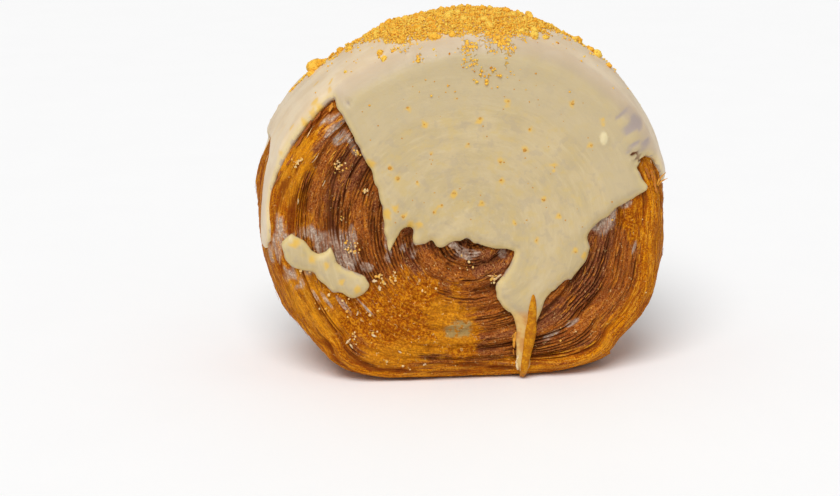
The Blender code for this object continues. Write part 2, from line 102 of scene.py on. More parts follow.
# --- Icing, as in the solids ---
ICING_GAP = 0.15 * MM
EDGE_GAP = 0.4 * MM
ICING_THICK = 1.5 * MM
ICING_LIP = 0.12 * MM
ICING_ROUND = 3.0 * MM
ICING_ROOT = 0.7 * MM  # how far the icing's underside reaches into the crust's grooves
ICING_SPACING = 0.85 * MM
OUTLINE_SPACING = 0.6 * MM
ARC_POINTS = 170
ICING_LEFT = math.radians(164)
ICING_RIGHT = math.radians(5)
LEFT_RUN = [
    (-57.5, 14.5), (-56.2, 8), (-57, -1), (-57.8, -8), (-56.8, -13.4), (-52.6, -12.8),
    (-49.6, -7.5), (-50.4, -1), (-48.6, 6), (-45, 12.5), (-41, 19), (-37, 23.8), (-33.4, 27),
]
SHEET_EDGE = [
    (-31.5, 24), (-28.2, 17.5), (-24.8, 10.5), (-22, 2.8), (-20.8, -4), (-19.6, -11.6),
    (-17.4, -7), (-14.4, -5.4), (-13.4, -9.4), (-11.6, -9.9), (-9.6, -8.9), (-7, -10.7), (-1.5, -8.4),
    (3, -10.4), (10.9, -12.1),
]
TONGUE = [
    (9.8, -17), (6.8, -20.8), (7.8, -25.4), (11.2, -29), (12.2, -34), (12.4, -40.5),
    (13.2, -44), (15, -43.6), (15.5, -40), (15.8, -35), (18, -29.4), (19.2, -25),
]
RIGHT_EDGE = [
    (24, -20.3), (26.6, -19.4), (30.4, -13), (29.8, -8.6), (36, -2.9), (44.4, 2.4), (42, 7.6),
    (44.5, 10.5), (47.5, 9.5), (51, 5), (56, 2.5), (62, 2.8), (67, 5),
]
FRONT_EDGE = LEFT_RUN + SHEET_EDGE + TONGUE + RIGHT_EDGE

# Marks on the icing's front, in millimetres. Thin patches are ellipses: (x, z, radius x, radius z, tilt).
THIN = [
    (39.5, 18.5, 5.5, 4.5, 30), (41.5, 14, 3.6, 3.0, 0), (36.4, 20.6, 2.6, 2.2, 0), (45.8, 15.5, 2, 4.5, 0),
]
THIN_DEPTH = 0.35
SLITS = [(41.2, 11.5, 2.4), (42.6, 9.9, 2.4)]  # (x, z, half length)
SLIT_HALF, SLIT_FALL, SLIT_DEPTH = 0.75, 0.12, 1.5
DROP, DROP_RADII, DROP_HEIGHT = (33.2, 15.8), (1.5, 2.6), 0.8
HOLE, HOLE_RADIUS, HOLE_DEPTH = (-29.1, 25.4), 1.1, 1.1
RIPPLE_LENGTH, RIPPLE_HEIGHT, LUMP_HEIGHT = 3.7, 0.13, 0.35
# Where the left strip, the tongue's tail and the right end begin and where they are thinnest.
STRIP_X, STRIP_Z = (-45.5, -49), (18, 11)
TAIL_FROM, TAIL_Z = 6, (-24.5, -31)
END_X, END_Z = (48, 54), (17, 9)
FOLD_AT, FOLD_HALF = 5.0 * MM, 3.4 * MM  # the band of painted shade past the face's edge, where the icing turns from the face to the rim
# Specks of crumb caught in the icing of the front face: (chart x, chart z, radius).
SPECKS = [
    (2.6, 21.5, 0.62), (13.6, 13.4, 0.66), (7.6, 10.8, 0.62), (-24.0, 11.2, 1.0), (-19.4, 9.8, 0.75),
    (-9.4, 13.0, 0.4), (-17.5, 7.2, 0.7), (-12.8, 6.3, 0.5), (7.8, 6.2, 0.5), (-3.8, 3.2, 0.55),
    (-6.8, 0.3, 0.55), (18.6, 0.8, 0.6), (-15.0, 24.6, 0.45), (-3, 26.5, 0.4), (9.6, 25.6, 0.45),
    (25.4, 24.6, 0.6), (30.1, 14.2, 0.5), (14.8, 18.6, 0.4), (-8.8, -1.5, 0.4), (3.2, 0.6, 0.35),
    (16.8, -9.4, 0.4), (22.4, -3.2, 0.3), (11.4, -5.0, 0.35), (-16.2, -2.4, 0.7), (-14.4, -4.6, 0.5),
    (26.5, -12.6, 0.45), (28.6, -13.6, 0.4), (-11, 20.4, 0.35), (-0.2, 15.4, 0.35), (21, 9, 0.35),
]
# Yellow stains in the icing: (chart x, chart z, radius).
STAINS = [
    (-37.7, 25.9, 0.9), (-36.0, 24.0, 0.9), (-38.0, 22.6, 1.1), (-40.0, 21.1, 0.9), (-34.4, 28.6, 0.6),
    (-42.2, 32.4, 0.6), (-43.9, 18.8, 0.6), (-46.0, 13.0, 0.5), (-20.2, -1.9, 1.3), (-18.2, -0.2, 0.8),
    (9.0, -27.6, 0.9), (33.0, 20.2, 0.5), (5.2, -13.2, 0.6), (-34.6, 30.8, 0.6), (-12.6, -4.6, 1.0),
    (-42.6, -9.0, 0.9), (-38.8, -13.0, 0.8), (-35.2, -14.2, 0.5), (-31.6, -18.6, 0.7), (-27.4, -20.8, 0.8),
]
# Drips behind: (x and z of the tip, half width, z of the bay on its right).
BACK_DRIPS = [
    (-49, 2, 3.2, 10), (-31, -11, 3.8, 6), (-6, -19, 4.6, 3), (20, -6, 3.4, 5.5), (41, -12, 3.8, 8),
]
# A drip's shape in half widths: heights of neck and bulb above the tip, breadth of neck and flare.
DRIP_NECK, DRIP_BULB = 2.4, 0.9
DRIP_WAIST, DRIP_FLARE = 0.85, 1.6
BAY_ROUND = 1.2  # millimetres that a bay's middle rises above its shoulders
BACK_END = (58, 4)
SMEAR = [
    (-45.5, -9), (-43.5, -6.8), (-40.8, -8.2), (-38.4, -11.4), (-36, -11.9), (-34, -10.6),
    (-32.6, -13.6), (-31, -15.6), (-28.4, -16.6), (-25.6, -18.2), (-24.4, -20.2), (-26.3, -21.9),
    (-28.9, -23.2), (-31.3, -21.9), (-34, -21.4), (-36.9, -18.9), (-38.6, -16.3), (-42.4, -15.2),
    (-44.8, -13.2),
]

# The strand of syrup down the tail: (chart x, chart z, half width), millimetres.
STRAND = [
    (16.0, -22.8, 0.25), (16.0, -23.6, 0.8), (16.0, -25.0, 1.1), (15.9, -28.0, 1.2), (15.8, -31.3, 1.5),
    (15.4, -35.0, 1.4), (15.0, -37.5, 1.2), (14.5, -40.5, 1.05), (14.2, -43.0, 1.0), (14.1, -45.4, 0.8),
]
STRAND_STEP, STRAND_SIDES = 0.45 * MM, 14
STRAND_LIFTS, STRAND_SINKS = (0.55 * MM, 0.9 * MM), (-31, -25)  # over the crust, more above the sink

SLIVERS = 800
RIM_REACH = 0.16  # metres along the skin past the face's edge for each whole reach

# --- UV map ---
# Each half's chart is a disc on the map, in front and behind; the icing's underside has smaller ones.
DISCS, DISC_RADIUS, CHART_RADIUS = (0.29, 0.71), 0.285, 72 * MM
SMALL_DISCS, SMALL_SHARE = ([[0.86, 0.14]], [[0.14, 0.86]]), 0.45

# --- Crumbs ---
CRUMB_SEED = 7
HEAP_SIZES = [r * MM for r in (1.5, 1.4, 1.3, 1.2, 1.2, 1.2)] + [1.0 * MM] * 26 + [0.85 * MM] * 44
HEAP_MIDDLE = math.radians(92)
HEAP_REACH = math.radians(29)
HEAP_DEPTHS = (-20.5 * MM, 20 * MM)
HEAP_SPACING = 1.05
HEAP_TRIES = 400
LONE_CRUMBS = [
    (140.5, 6, 2.2), (138.4, 3.8, 1.4), (142.5, 3.6, 1.1), (131, 3, 1.2), (128, -2, 1.0),
    (49.5, 0.8, 1.2), (51, -1.2, 0.9), (43.5, -4, 1.3), (45.4, -3, 0.9), (39, -5.8, 0.9),
]
CRUMB_BED = 0.9 * MM
# The powder's limits in front and behind, in millimetres from the middle of the rim, by angle.
POWDER_ANGLES = [30, 40, 52, 60, 66, 70, 79, 85, 91, 96, 103, 110, 116, 119, 124, 131, 139, 146]
POWDER_FRONT = [6, 1, -2.5, -7, -14, -20.5, -24, -24.5, -23, -19, -18.5, -20, -16, -8, -2, 2, 4, 8]
POWDER_BACK = [2, 3, 6, 11, 15, 17, 19, 20, 21, 20, 20, 21, 20, 18, 10, 6, 5, 7]
FINE_CRUMBS = 8400
FINE_DRAWS = 90000
FINE_ANGLES, FINE_DEPTHS = (20, 152), (-30, 24)  # degrees, and millimetres from the middle of the rim
FINE_SIZES = (0.15 * MM, 0.44 * MM)
FINE_BACK = 0.6  # how thick the powder lies behind, as a share of the front's
STRAY_MIDDLE, STRAY_ANGLE, STRAY_DEPTH = 90, 36, 22  # strays thin out: degrees, degrees, millimetres
GRAINS_ON_LUMPS = 16  # fine crumbs on each large one
# Loose specks in the icing lie in a disc of that reach, lowered in front and raised behind.
LOOSE_SPECKS = 90
SPECK_REACH, SPECK_DROP, SPECK_BACK_RISE = 41, 4, 6 * MM
SPECK_ROOM = 1.5 * MM  # least distance from the icing's edge

# --- The photographed view ---
VIEW_AZIMUTH = math.radians(-6.5)
VIEW_ELEVATION = math.radians(13)
VIEW_DISTANCE = 0.52
VIEW_TARGET = Vector((0, 0, AXIS_HEIGHT))
SENSOR = 36
FRAME_WIDTH = 840
FOCAL_PIXELS = 2024
SHIFT_PIXELS = (38, -65)
NEAREST = 0.01

# --- Light and floor ---
WORLD_LIGHT = 0.45
LAMP_LIGHT = 2.35
LAMP_SPREAD = math.radians(35)
LAMP_FROM = (-0.18, -0.6, 0.78)
FLOOR_HALF = 3
FLOOR_GAP = 0.2 * MM


# --- Shape of the skin ---

def through(values, theta):
    """A smooth closed curve through values spaced evenly round the circle, read at theta."""
    values = np.asarray(values)
    count = len(values)
    place = (np.asarray(theta) / (2 * math.pi) * count) % count
    first = np.floor(place).astype(int)
    t = place - first
    a, b, c, d = (values[(first + k) % count] for k in (-1, 0, 1, 2))
    return spline(a, b, c, d, t)


def spline(a, b, c, d, t):
    """The Catmull-Rom curve from b to c."""
    cubic = (2 * a - 5 * b + 4 * c - d) * t**2 + (3 * b - 3 * c + d - a) * t**3
    return 0.5 * (2 * b + (c - a) * t + cubic)


def smooth_min(a, b, width):
    share = np.clip(0.5 + 0.5 * (b - a) / width, 0, 1)
    return b * (1 - share) + a * share - width * share * (1 - share)


def smooth_step(low, high, value):
    t = np.clip((value - low) / (high - low), 0, 1)
    return t * t * (3 - 2 * t)


def rim_radius(theta):
    down = np.maximum(-np.sin(theta), 0.05)
    return smooth_min(through(RIM_RADII, theta), AXIS_HEIGHT / down, FOOT_BLEND)


def foot_share(theta):
    height = AXIS_HEIGHT + rim_radius(theta) * np.sin(theta)
    return np.clip(1 - height / FOOT_FADE, 0, 1)


def swell(y, theta):
    return BARREL * (2 * y / THICKNESS) ** 2 * (1 - foot_share(theta))


def face_radius(theta):
    return rim_radius(theta) - EDGE_ROUND - swell(THICKNESS / 2, theta)


def unit(vectors):
    return vectors / np.linalg.norm(vectors, axis=-1, keepdims=True)


def polar(rho, theta):
    return np.stack([rho * np.cos(theta), rho * np.sin(theta)], axis=-1)


def polar_of(chart):
    """Each chart point's distance from the middle, and its angle."""
    return np.hypot(chart[:, 0], chart[:, 1]), np.arctan2(chart[:, 1], chart[:, 0])


def mid_rim(theta):
    return face_radius(theta) + EDGE_ROUND * math.pi / 2 + THICKNESS / 2 - EDGE_ROUND


def smooth_skin(chart, side):
    rho, theta = polar_of(chart)
    flat = face_radius(theta)
    turn = np.clip((rho - flat) / EDGE_ROUND, 0, math.pi / 2)
    along = np.maximum(rho - flat - EDGE_ROUND * math.pi / 2, 0)
    depth = THICKNESS / 2 - EDGE_ROUND * (1 - np.cos(turn)) - along
    dome = FACE_DOME * np.clip(1 - (rho / flat) ** 2, 0, 1)
    edge = rim_radius(theta) - EDGE_ROUND * (1 - np.sin(turn)) - swell(depth, theta)
    radius = np.where(rho < flat, rho, edge)
    return np.stack(
        [radius * np.cos(theta), side * (depth + dome), AXIS_HEIGHT + radius * np.sin(theta)], axis=1
    )


def wave(points, size):
    """Smooth unevenness from 0 to 1 at each point, the same as in the solids."""
    return np.array([0.5 + 0.5 * noise.noise(Vector(p) / size) for p in points])


def bump(distance):
    return (1 - np.clip(np.abs(distance), 0, 1) ** 2) ** 2


def over_edge(points):
    """The angle of each point of the skin, and a share from 0 on the face to 1 past its rounded edge."""
    theta = np.arctan2(points[:, 2] - AXIS_HEIGHT, points[:, 0])
    radius = np.hypot(points[:, 0], points[:, 2] - AXIS_HEIGHT)
    return theta, np.clip((radius - face_radius(theta)) / EDGE_ROUND, 0, 1)


def crag_lift(points):
    theta, on_rim = over_edge(points)
    lift = np.zeros(len(points))
    for angle, y, width, depth, height in CRAGS:
        turn = (np.degrees(theta) - angle + 180) % 360 - 180
        lift += height * MM * bump(turn / width) * bump((points[:, 1] / MM - y) / depth)
    return lift * on_rim


def skin(chart, side):
    """Points of the skin at chart points, and its outward unit normals."""
    steps = np.array([[CHART_STEP, 0], [0, CHART_STEP]])
    runs = [smooth_skin(chart + step, side) - smooth_skin(chart - step, side) for step in steps]
    normals = unit(np.cross(*runs) * -side)
    points = smooth_skin(chart, side)
    _, theta = polar_of(chart)
    moved = (crag_lift(points) - WEAR * wave(points, WEAR_SIZE)) * (1 - foot_share(theta))
    return points + normals * moved[:, None], normals


def winding_point(share, theta):
    """Chart points at a share of the way from the winding's centre to the edge of the face."""
    reach = ROUND_TURNS + (face_radius(theta) - ROUND_TURNS) * share**3
    return np.outer(1 - share, WINDING_CENTRE) + polar(share * reach, theta)


# --- Fast noise for the fine relief ---

def scatter(cells, seed):
    """A repeatable number from 0 to 1 for each whole-number cell."""
    mixed = cells[..., 0] * 73856093 ^ cells[..., 1] * 19349663 ^ cells[..., 2] * 83492791
    mixed = (mixed ^ seed * 2654435761) & 0xFFFFFFFF
    mixed = ((mixed ^ mixed >> 15) * 2246822519) & 0xFFFFFFFF
    mixed = ((mixed ^ mixed >> 13) * 3266489917) & 0xFFFFFFFF
    return (mixed ^ mixed >> 16) / 0xFFFFFFFF


def grain(points, size, seed):
    """Smooth noise from 0 to 1 with features of the given size."""
    place = points / size
    cell = np.floor(place).astype(np.int64)
    t = place - cell
    t = t * t * (3 - 2 * t)
    total = np.zeros(len(points))
    for corner in np.ndindex(2, 2, 2):
        weight = np.prod(np.where(corner, t, 1 - t), axis=1)
        total += weight * scatter(cell + corner, seed)
    return total


def blobs(chart, spots, raggedness, seed, soft=0.2):
    """The union of soft ragged ellipses (x, z, radius x, radius z, tilt in degrees) in millimetres."""
    at = chart / MM
    warp = np.concatenate([at, np.zeros((len(at), 1))], axis=1)
    noisy = (grain(warp, 5, seed) - 0.5) + 0.6 * (grain(warp, 1.7, seed + 1) - 0.5)
    found = np.zeros(len(at))
    for x, z, wide, high, tilt in spots:
        turn = math.radians(tilt)
        dx, dz = at[:, 0] - x, at[:, 1] - z
        along = (dx * math.cos(turn) + dz * math.sin(turn)) / wide
        across = (dz * math.cos(turn) - dx * math.sin(turn)) / high
        reach = np.hypot(along, across) + 2 * raggedness * noisy
        found = np.maximum(found, 1 - smooth_step(0.95 - soft, 0.95 + soft, reach))
    return found


# --- Meshes ---

def link(made):
    bpy.context.scene.collection.objects.link(made)
    return made


def add_mesh(name, points, faces, finish):
    mesh = bpy.data.meshes.new(name)
    mesh.from_pydata(np.asarray(points).tolist(), [], faces)
    mesh.materials.append(finish)
    made = link(bpy.data.objects.new(name, mesh))
    mesh.shade_smooth()
    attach(made, "root")
    return made


def set_fact(made, name, values):
    """A number or a vector for each vertex, which the materials read."""
    values = np.asarray(values, np.float32)
    kind, key = ("FLOAT_VECTOR", "vector") if values.ndim > 1 else ("FLOAT", "value")
    made.data.attributes.new(name, kind, "POINT").data.foreach_set(key, values.ravel())


def face_out(made, merge=None):
    """Turns the faces outwards, after vertices closer than merge have become one."""
    mesh = bmesh.new()
    mesh.from_mesh(made.data)
    if merge:
        bmesh.ops.remove_doubles(mesh, verts=mesh.verts, dist=merge)
    bmesh.ops.recalc_face_normals(mesh, faces=mesh.faces)
    mesh.to_mesh(made.data)
    mesh.free()


def lay_out(made, charts, sides, under=None):
    """A UV map with each half's chart on a disc of its own, and what lies under on two smaller ones."""
    spread = DISC_RADIUS / CHART_RADIUS
    flat = np.where(sides[:, None] == FRONT, *DISCS) + charts * spread
    if under is not None:
        small = np.where(sides[:, None] == FRONT, *SMALL_DISCS)
        flat = np.where(under[:, None], small + charts * spread * SMALL_SHARE, flat)
    layer = made.data.uv_layers.new(name="OFBake")
    corners = np.zeros(len(made.data.loops), np.int64)
    made.data.loops.foreach_get("vertex_index", corners)
    layer.data.foreach_set("uv", flat[corners].astype(np.float32).ravel())


# --- The pastry ---

# Ellipses on the front face, in millimetres: (x, z, radius x, radius z, tilt in degrees).
GOLDEN = [
    (-22, -30, 22, 12, -20), (-7, -31, 11.5, 9.5, 0), (-15, -24, 9, 7.5, -20), (-37, -21, 8, 7, 10),
    (-43.5, 3, 4.6, 13, 8), (-40.5, 12.5, 3.2, 6, 32), (42.5, -5.5, 4.2, 6.5, 5),
]
PURPLE = [(-28.6, 4, 5, 17, -8), (0, -14, 13, 6, 0), (30, -16, 5, 12, -20), (20, -31, 9, 4, 35)]
PALE_SPOT = [(-2.4, -32.4, 3.4, 2.1, 10), (-0.6, -30.8, 1.6, 1.2, 0), (-4.6, -33.2, 1.6, 1.2, 20)]
BRIGHT = [
    (-3.5, -30, 6.5, 7, 0), (-38, -26, 6, 10, 25), (-15, -38, 12, 4, 6), (-43.5, 6, 4, 11, 14),
    (-40.5, 13.5, 3, 6, 35),
]
FILM = [
    (-33.6, 22.4, 2.8, 0.55, 38), (-32.9, 19.4, 3.6, 0.55, 42), (-31.6, 16.6, 1.8, 1.3, 40),
    (-28.4, 15.0, 0.7, 2.8, 20), (-46.2, -4.6, 1.4, 3.4, 8), (-44.6, -8.2, 3.0, 2.4, 0),
    (-41.4, -7.0, 3.2, 2.0, -5), (-38.2, -7.0, 2.0, 3.0, 0), (-36.2, -9.4, 2.6, 2.8, 0),
    (-33.6, -8.4, 1.4, 3.4, 0), (-31.4, -9.8, 2.1, 4.4, 8), (-28.6, -9.4, 1.2, 4.0, 4),
    (-29.4, -13.4, 2.8, 2.4, 30), (-45.8, -17.6, 0.9, 3.0, 8), (-43.0, -20.8, 2.2, 0.7, 0),
    (-25.2, -16.0, 1.6, 1.2, -30), (-50.9, -13.4, 1.6, 3.0, 5), (-47.8, -11.8, 1.2, 4.2, 6),
    (-43.6, -17.2, 1.2, 2.4, 16), (-41.4, -19.4, 0.5, 2.2, 25), (-39.8, -16.8, 1.8, 1.4, 0),
    (-35.4, -23.8, 0.4, 2.4, 35), (-31, -25.2, 0.4, 2.8, 38), (-38.2, -22.4, 0.4, 2.2, 30),
    (-25.4, -26.2, 0.35, 3.0, 42), (-19.8, -9, 1.1, 4.5, 0), (-13.6, -12.6, 0.9, 2.8, 4),
    (-15.8, -11, 1.3, 1.6, 0), (-3.4, -10.8, 3.8, 1.1, -38), (-0.6, -12.6, 3.4, 0.9, 0),
    (8.5, -13.4, 1.6, 1.4, 0), (33.8, -6.4, 3.6, 2.6, 40), (36.4, -4.2, 1.2, 3.2, -20),
    (39.4, -1.6, 1.6, 0.8, 30), (42, -12.6, 0.4, 1.8, -14), (21.8, -34.6, 4.0, 0.8, 28),
    (26, -32.4, 2.2, 0.6, 30),
]
# The same on the back.
BACK_GOLDEN = [(6, -29, 26, 12, 8), (-36, -6, 8, 18, 0)]
BACK_PURPLE = [(-5, -10, 22, 18, 0)]


def grid_places():
    """Each row of the crust's grid: its side, and its share of the face or its share of half the rim."""
    half = RIM_ROWS // 2
    rows = [(FRONT, (k + 0.5) / FACE_ROWS[FRONT], None) for k in range(FACE_ROWS[FRONT])]
    rows += [(FRONT, None, k / half) for k in range(half + 1)]
    rows += [(BACK, None, k / half) for k in reversed(range(half))]
    rows += [(BACK, (k + 0.5) / FACE_ROWS[BACK], None) for k in reversed(range(FACE_ROWS[BACK]))]
    return rows


def tail_lift(theta, depth):
    run = (TAIL_ANGLE - theta) / TAIL_RUN
    rise = np.where((run >= 0) & (run < 1), 1 - run, 0.0)
    inside = np.clip((THICKNESS / 2 - EDGE_ROUND - np.abs(depth)) / EDGE_ROUND, 0, 1)
    return TAIL_STEP * rise * inside


def strip_edge_shadow(chart, place):
    """1 in the ragged dark line of painted shadow along the inner edge of the icing's left strip."""
    at = chart / MM
    near = smooth_step(2.4, 0.5, -icing_room(chart, FRONT) / MM)
    near *= smooth_step(-31, -34, at[:, 0]) * smooth_step(3, 7, at[:, 1])
    return near * smooth_step(0.38, 0.56, grain(place, 2.4, 9))


def crust_relief(share, arc, theta, chart, points, side):
    """Depth below the skin, and the facts that the material needs, at each grid point.

    share is the place across the face from 0 to 1 and goes on past 1 over the edge; arc is 0 on
    the face and 1 in the middle of the rim.
    """
    across = np.where(arc > 0, ROUND_TURNS / MM + arc * FLOW_RIM, share * ROUND_TURNS / MM)
    turned = FLOW_RADIUS / FLOW_STRETCH * np.stack([np.cos(theta), np.sin(theta)], axis=1)
    flow = np.column_stack([across, turned[:, 0] + side * SIDE_SHIFT, turned[:, 1]])
    flow[:, 0] += 1.6 * (grain(flow, 2.4, 0) - 0.5)
    place = points / MM
    on_rim = smooth_step(0.05, 0.4, arc)
    on_foot = foot_share(theta) * smooth_step(0.1, 0.4, arc)

    phase = share * PITCHES - theta / (2 * math.pi) - SEAM_START
    seam = through(SEAM_DEPTHS, phase * 2 * math.pi) * (0.5 + wave(points, SEAM_SIZE))
    seam *= np.clip(8 * (1 - share), 0, 1)

    layer = phase * LAYERS + 1.5 * grain(flow, 6, 1) + 0.8 * grain(flow, 2.2, 2)
    groove = np.exp(-(((layer - np.round(layer)) / LAYER_GROOVE) ** 2))
    groove *= np.clip(2.6 * grain(flow, 2.2, 3) - 0.75, 0, 1.35)
    band = grain(flow, 3.4, 10) * 0.65 + grain(flow, 1.6, 11) * 0.35
    chips = smooth_step(0.54, 0.64, grain(flow, 1.3, 4)) + 0.6 * smooth_step(0.55, 0.7, grain(flow, 0.7, 5))
    rough = grain(place, 1.35, 6) + 0.7 * grain(place, 0.75, 7) - 0.85

    front = side == FRONT
    golden = blobs(chart, GOLDEN if front else BACK_GOLDEN, 0.3, 20, 0.32)
    purple = blobs(chart, PURPLE if front else BACK_PURPLE, 0.5, 50 if front else 51)
    film = blobs(chart, FILM if front else [], 0.45, 30, 0.4)
    pale = blobs(chart, PALE_SPOT if front else [], 0.4, 40, 0.5)
    bright = blobs(chart, BRIGHT if front else [], 0.4, 45, 0.4)
    lower_right = np.exp(-(((np.degrees(theta) - LOWER_RIGHT[0]) / LOWER_RIGHT[1]) ** 2)) * front
    reach = share - 0.08 * lower_right
    edge = smooth_step(0.945, 1.03, reach + 0.12 * (grain(flow, 2.5, 8) - 0.5))

    crumble = golden * (1 - edge) * (1 - on_rim)
    if front:
        crumble *= smooth_step(-41, -34, chart[:, 0] / MM)
    layers = LAYER_DEPTH * groove * (1 - 0.8 * crumble) * (1 - 0.7 * on_rim) * (1 - 0.45 * film)
    chipped = CHIP_DEPTH * chips * (1 - 0.5 * crumble) * (1 - 0.35 * on_rim)
    waves = BAND_DEPTH * (band - 0.35) * (1 - crumble)
    grit = CRUMBLE * rough * (0.12 + crumble + 0.22 * on_rim)
    depth = seam * (1 - 0.5 * crumble) + layers + chipped + waves - grit - FILM_DEPTH * film
    depth *= 1 - on_foot
    # pit is how deep the grooves and hollows lie; the material darkens the crust there with painted shade,
    # along with random darker grain.
    pit = np.maximum((layers + 0.6 * chipped) / (0.8 * MM), 0.4 * crumble * smooth_step(0.05, 0.5, -rough))
    # Painted shadow under the edge of the icing's left strip: it darkens the crust's colour through pit, and
    # sinks the crust a little.
    if front:
        shade = strip_edge_shadow(chart, place)
        pit = np.maximum(pit, shade)
        depth += SHADE_DEPTH * shade
    facts = {
        "golden": np.maximum(golden, EDGE_GOLD * edge * (1 - 0.55 * lower_right)),
        "edge": np.maximum(edge, on_rim), "crumble": crumble, "pit": np.clip(pit, 0, 1), "band": band,
        "film": film, "purple": purple * (1 - edge), "pale": pale, "bright": bright, "flow": flow,
    }
    return depth, facts


def crust(finish):
    """One closed grid of rings round the axis, from the front face over the rim to the back face."""
    angles = 2 * math.pi * np.arange(COLUMNS) / COLUMNS
    flat = face_radius(angles)
    ring = np.ones(COLUMNS)
    parts = {FRONT: [], BACK: []}
    for side, share, arc in grid_places():
        if arc is None:
            parts[side].append((winding_point(share * ring, angles), share * ring, 0 * ring))
        else:
            row = 1 + arc * RIM_SPAN / ROUND_TURNS
            parts[side].append((polar(flat + arc * RIM_SPAN, angles), row * ring, arc * ring))
    points, charts, facts = [], [], {}
    for side in (FRONT, BACK):
        chart, share, arc = (np.concatenate(values) for values in zip(*parts[side]))
        theta = np.tile(angles, len(parts[side]))
        base, normals = skin(chart, side)
        depth, found = crust_relief(share, arc, theta, chart, base, side)
        lift = tail_lift(theta, base[:, 1]) * (arc > 0)
        moved = base + normals * (lift - depth)[:, None]
        moved[:, 2] = np.maximum(moved[:, 2], 0)
        points.append(moved)
        charts.append(chart)
        for key, values in found.items():
            facts.setdefault(key, []).append(values)
    hubs = [skin(np.array([WINDING_CENTRE]), side)[0] for side in (FRONT, BACK)]
    rows = len(grid_places())
    k = np.arange(COLUMNS)
    following = (k + 1) % COLUMNS
    faces = []
    for r in range(rows - 1):
        a, b = r * COLUMNS, (r + 1) * COLUMNS
        faces += np.stack([a + k, b + k, b + following, a + following], axis=1).tolist()
    hub, end = rows * COLUMNS, (rows - 1) * COLUMNS
    faces += np.stack([np.full(COLUMNS, hub), k, following], axis=1).tolist()
    faces += np.stack([np.full(COLUMNS, hub + 1), end + following, end + k], axis=1).tolist()
    made = add_mesh("crust", np.concatenate([*points, *hubs]), faces, finish)
    face_out(made)
    for key, values in facts.items():
        at_hubs = np.full((2, *values[0].shape[1:]), 0.0 if key == "flow" else 0.3)
        set_fact(made, key, np.concatenate([*values, at_hubs]))
    charts = np.concatenate([*charts, [WINDING_CENTRE, WINDING_CENTRE]])
    sides = np.concatenate([np.full(len(parts[s]) * COLUMNS, s) for s in (FRONT, BACK)] + [[FRONT, BACK]])
    lay_out(made, charts, sides)
    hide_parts("pastry")


# --- Icing ---

def smooth_outline(corners, spacing, closed):
    p = np.array(corners)
    count = len(p)
    made = []
    for k in range(count if closed else count - 1):
        ends = [k - 1, k, k + 1, k + 2]
        ends = [e % count for e in ends] if closed else [min(max(e, 0), count - 1) for e in ends]
        a, b, c, d = p[ends]
        steps = max(1, round(np.linalg.norm(c - b) / spacing))
        made += [spline(a, b, c, d, t) for t in np.arange(steps) / steps]
    return np.array(made if closed else made + [p[-1]])


def ragged(line, seed, ends=0):
    """The line shaken by up to half a millimetre. ends is how many points at its ends stay put."""
    place = np.column_stack([line / MM, np.zeros(len(line))])
    shift = [grain(place, 2.2, seed + k) + 0.4 * grain(place, 1.2, seed + 2 + k) - 0.7 for k in (0, 1)]
    along = np.arange(len(line))
    hold = np.clip(np.minimum(along, along[::-1]) / max(ends, 1), 0, 1) if ends else 1.0
    return line + np.stack(shift, axis=1) * MM * 0.75 * np.reshape(hold, (-1, 1))


def distance_to(line, points, closed):
    ends = np.roll(line, -1, axis=0) if closed else line[1:]
    starts = line if closed else line[:-1]
    best = np.full(len(points), np.inf)
    for a, d in zip(starts, ends - starts):
        t = np.clip((points - a) @ d / max(d @ d, 1e-18), 0, 1)
        best = np.minimum(best, np.linalg.norm(points - a - t[:, None] * d, axis=1))
    return best


def inside(loop, points):
    found = np.zeros(len(points), bool)
    for a, b in zip(loop, np.roll(loop, -1, axis=0)):
        crosses = (a[1] > points[:, 1]) != (b[1] > points[:, 1])
        with np.errstate(divide="ignore", invalid="ignore"):
            x = a[0] + (points[:, 1] - a[1]) * (b[0] - a[0]) / (b[1] - a[1])
        found ^= crosses & (points[:, 0] < x)
    return found


def chart_grid(spacing):
    """Chart points spacing apart: rows over the face, then rings along its rounded edge and the rim."""
    reach = np.arange(-max(RIM_RADII), max(RIM_RADII), spacing)
    rows = reach * math.sqrt(3) / 2
    grid = np.array([(x + spacing / 2 * (k % 2), z) for k, z in enumerate(rows) for x in reach])
    rho, theta = polar_of(grid)
    grid = grid[rho < face_radius(theta) - 0.6 * spacing]
    theta = np.linspace(0, 2 * math.pi, round(2 * math.pi * AXIS_HEIGHT / spacing), endpoint=False)
    rings = [polar(face_radius(theta) + offset, theta) for offset in np.arange(0, RIM_SPAN, spacing)]
    return np.concatenate([grid, *rings])


def fill(loop, spacing):
    grid = chart_grid(spacing)
    grid = grid[inside(loop, grid)]
    grid = grid[distance_to(loop, grid, closed=True) > 0.5 * spacing]
    points = [Vector(p) for p in (*loop, *grid)]
    edges = [(k, (k + 1) % len(loop)) for k in range(len(loop))]
    made = geometry.delaunay_2d_cdt(points, edges, [], 1, 1e-9)
    return np.array([tuple(p) for p in made[0]]), [tuple(f) for f in made[2]]


def heap_share(points):
    """1 in the middle of the heap of crumbs, 0 clear of it."""
    theta, on_rim = over_edge(points)
    return np.clip(3 - 3 * np.abs(theta - HEAP_MIDDLE) / HEAP_REACH, 0, 1) * on_rim


def powder_share(chart, side):
    """How thickly the fine crumbs lie at each chart point, from 0 to 1."""
    rho, theta = polar_of(chart)
    depth = side * (mid_rim(theta) - rho) / MM
    place = smooth_skin(chart, side) / MM
    uneven = 0.8 * (grain(place, 4.5, 60) - 0.5) + 1.2 * (grain(place, 1.5, 61) - 0.5)
    front, back = (np.interp(np.degrees(theta), POWDER_ANGLES, ends) for ends in (POWDER_FRONT, POWDER_BACK))
    return smooth_step(-3.6, 5.0, np.minimum(depth - front, back - depth) + 8 * uneven)


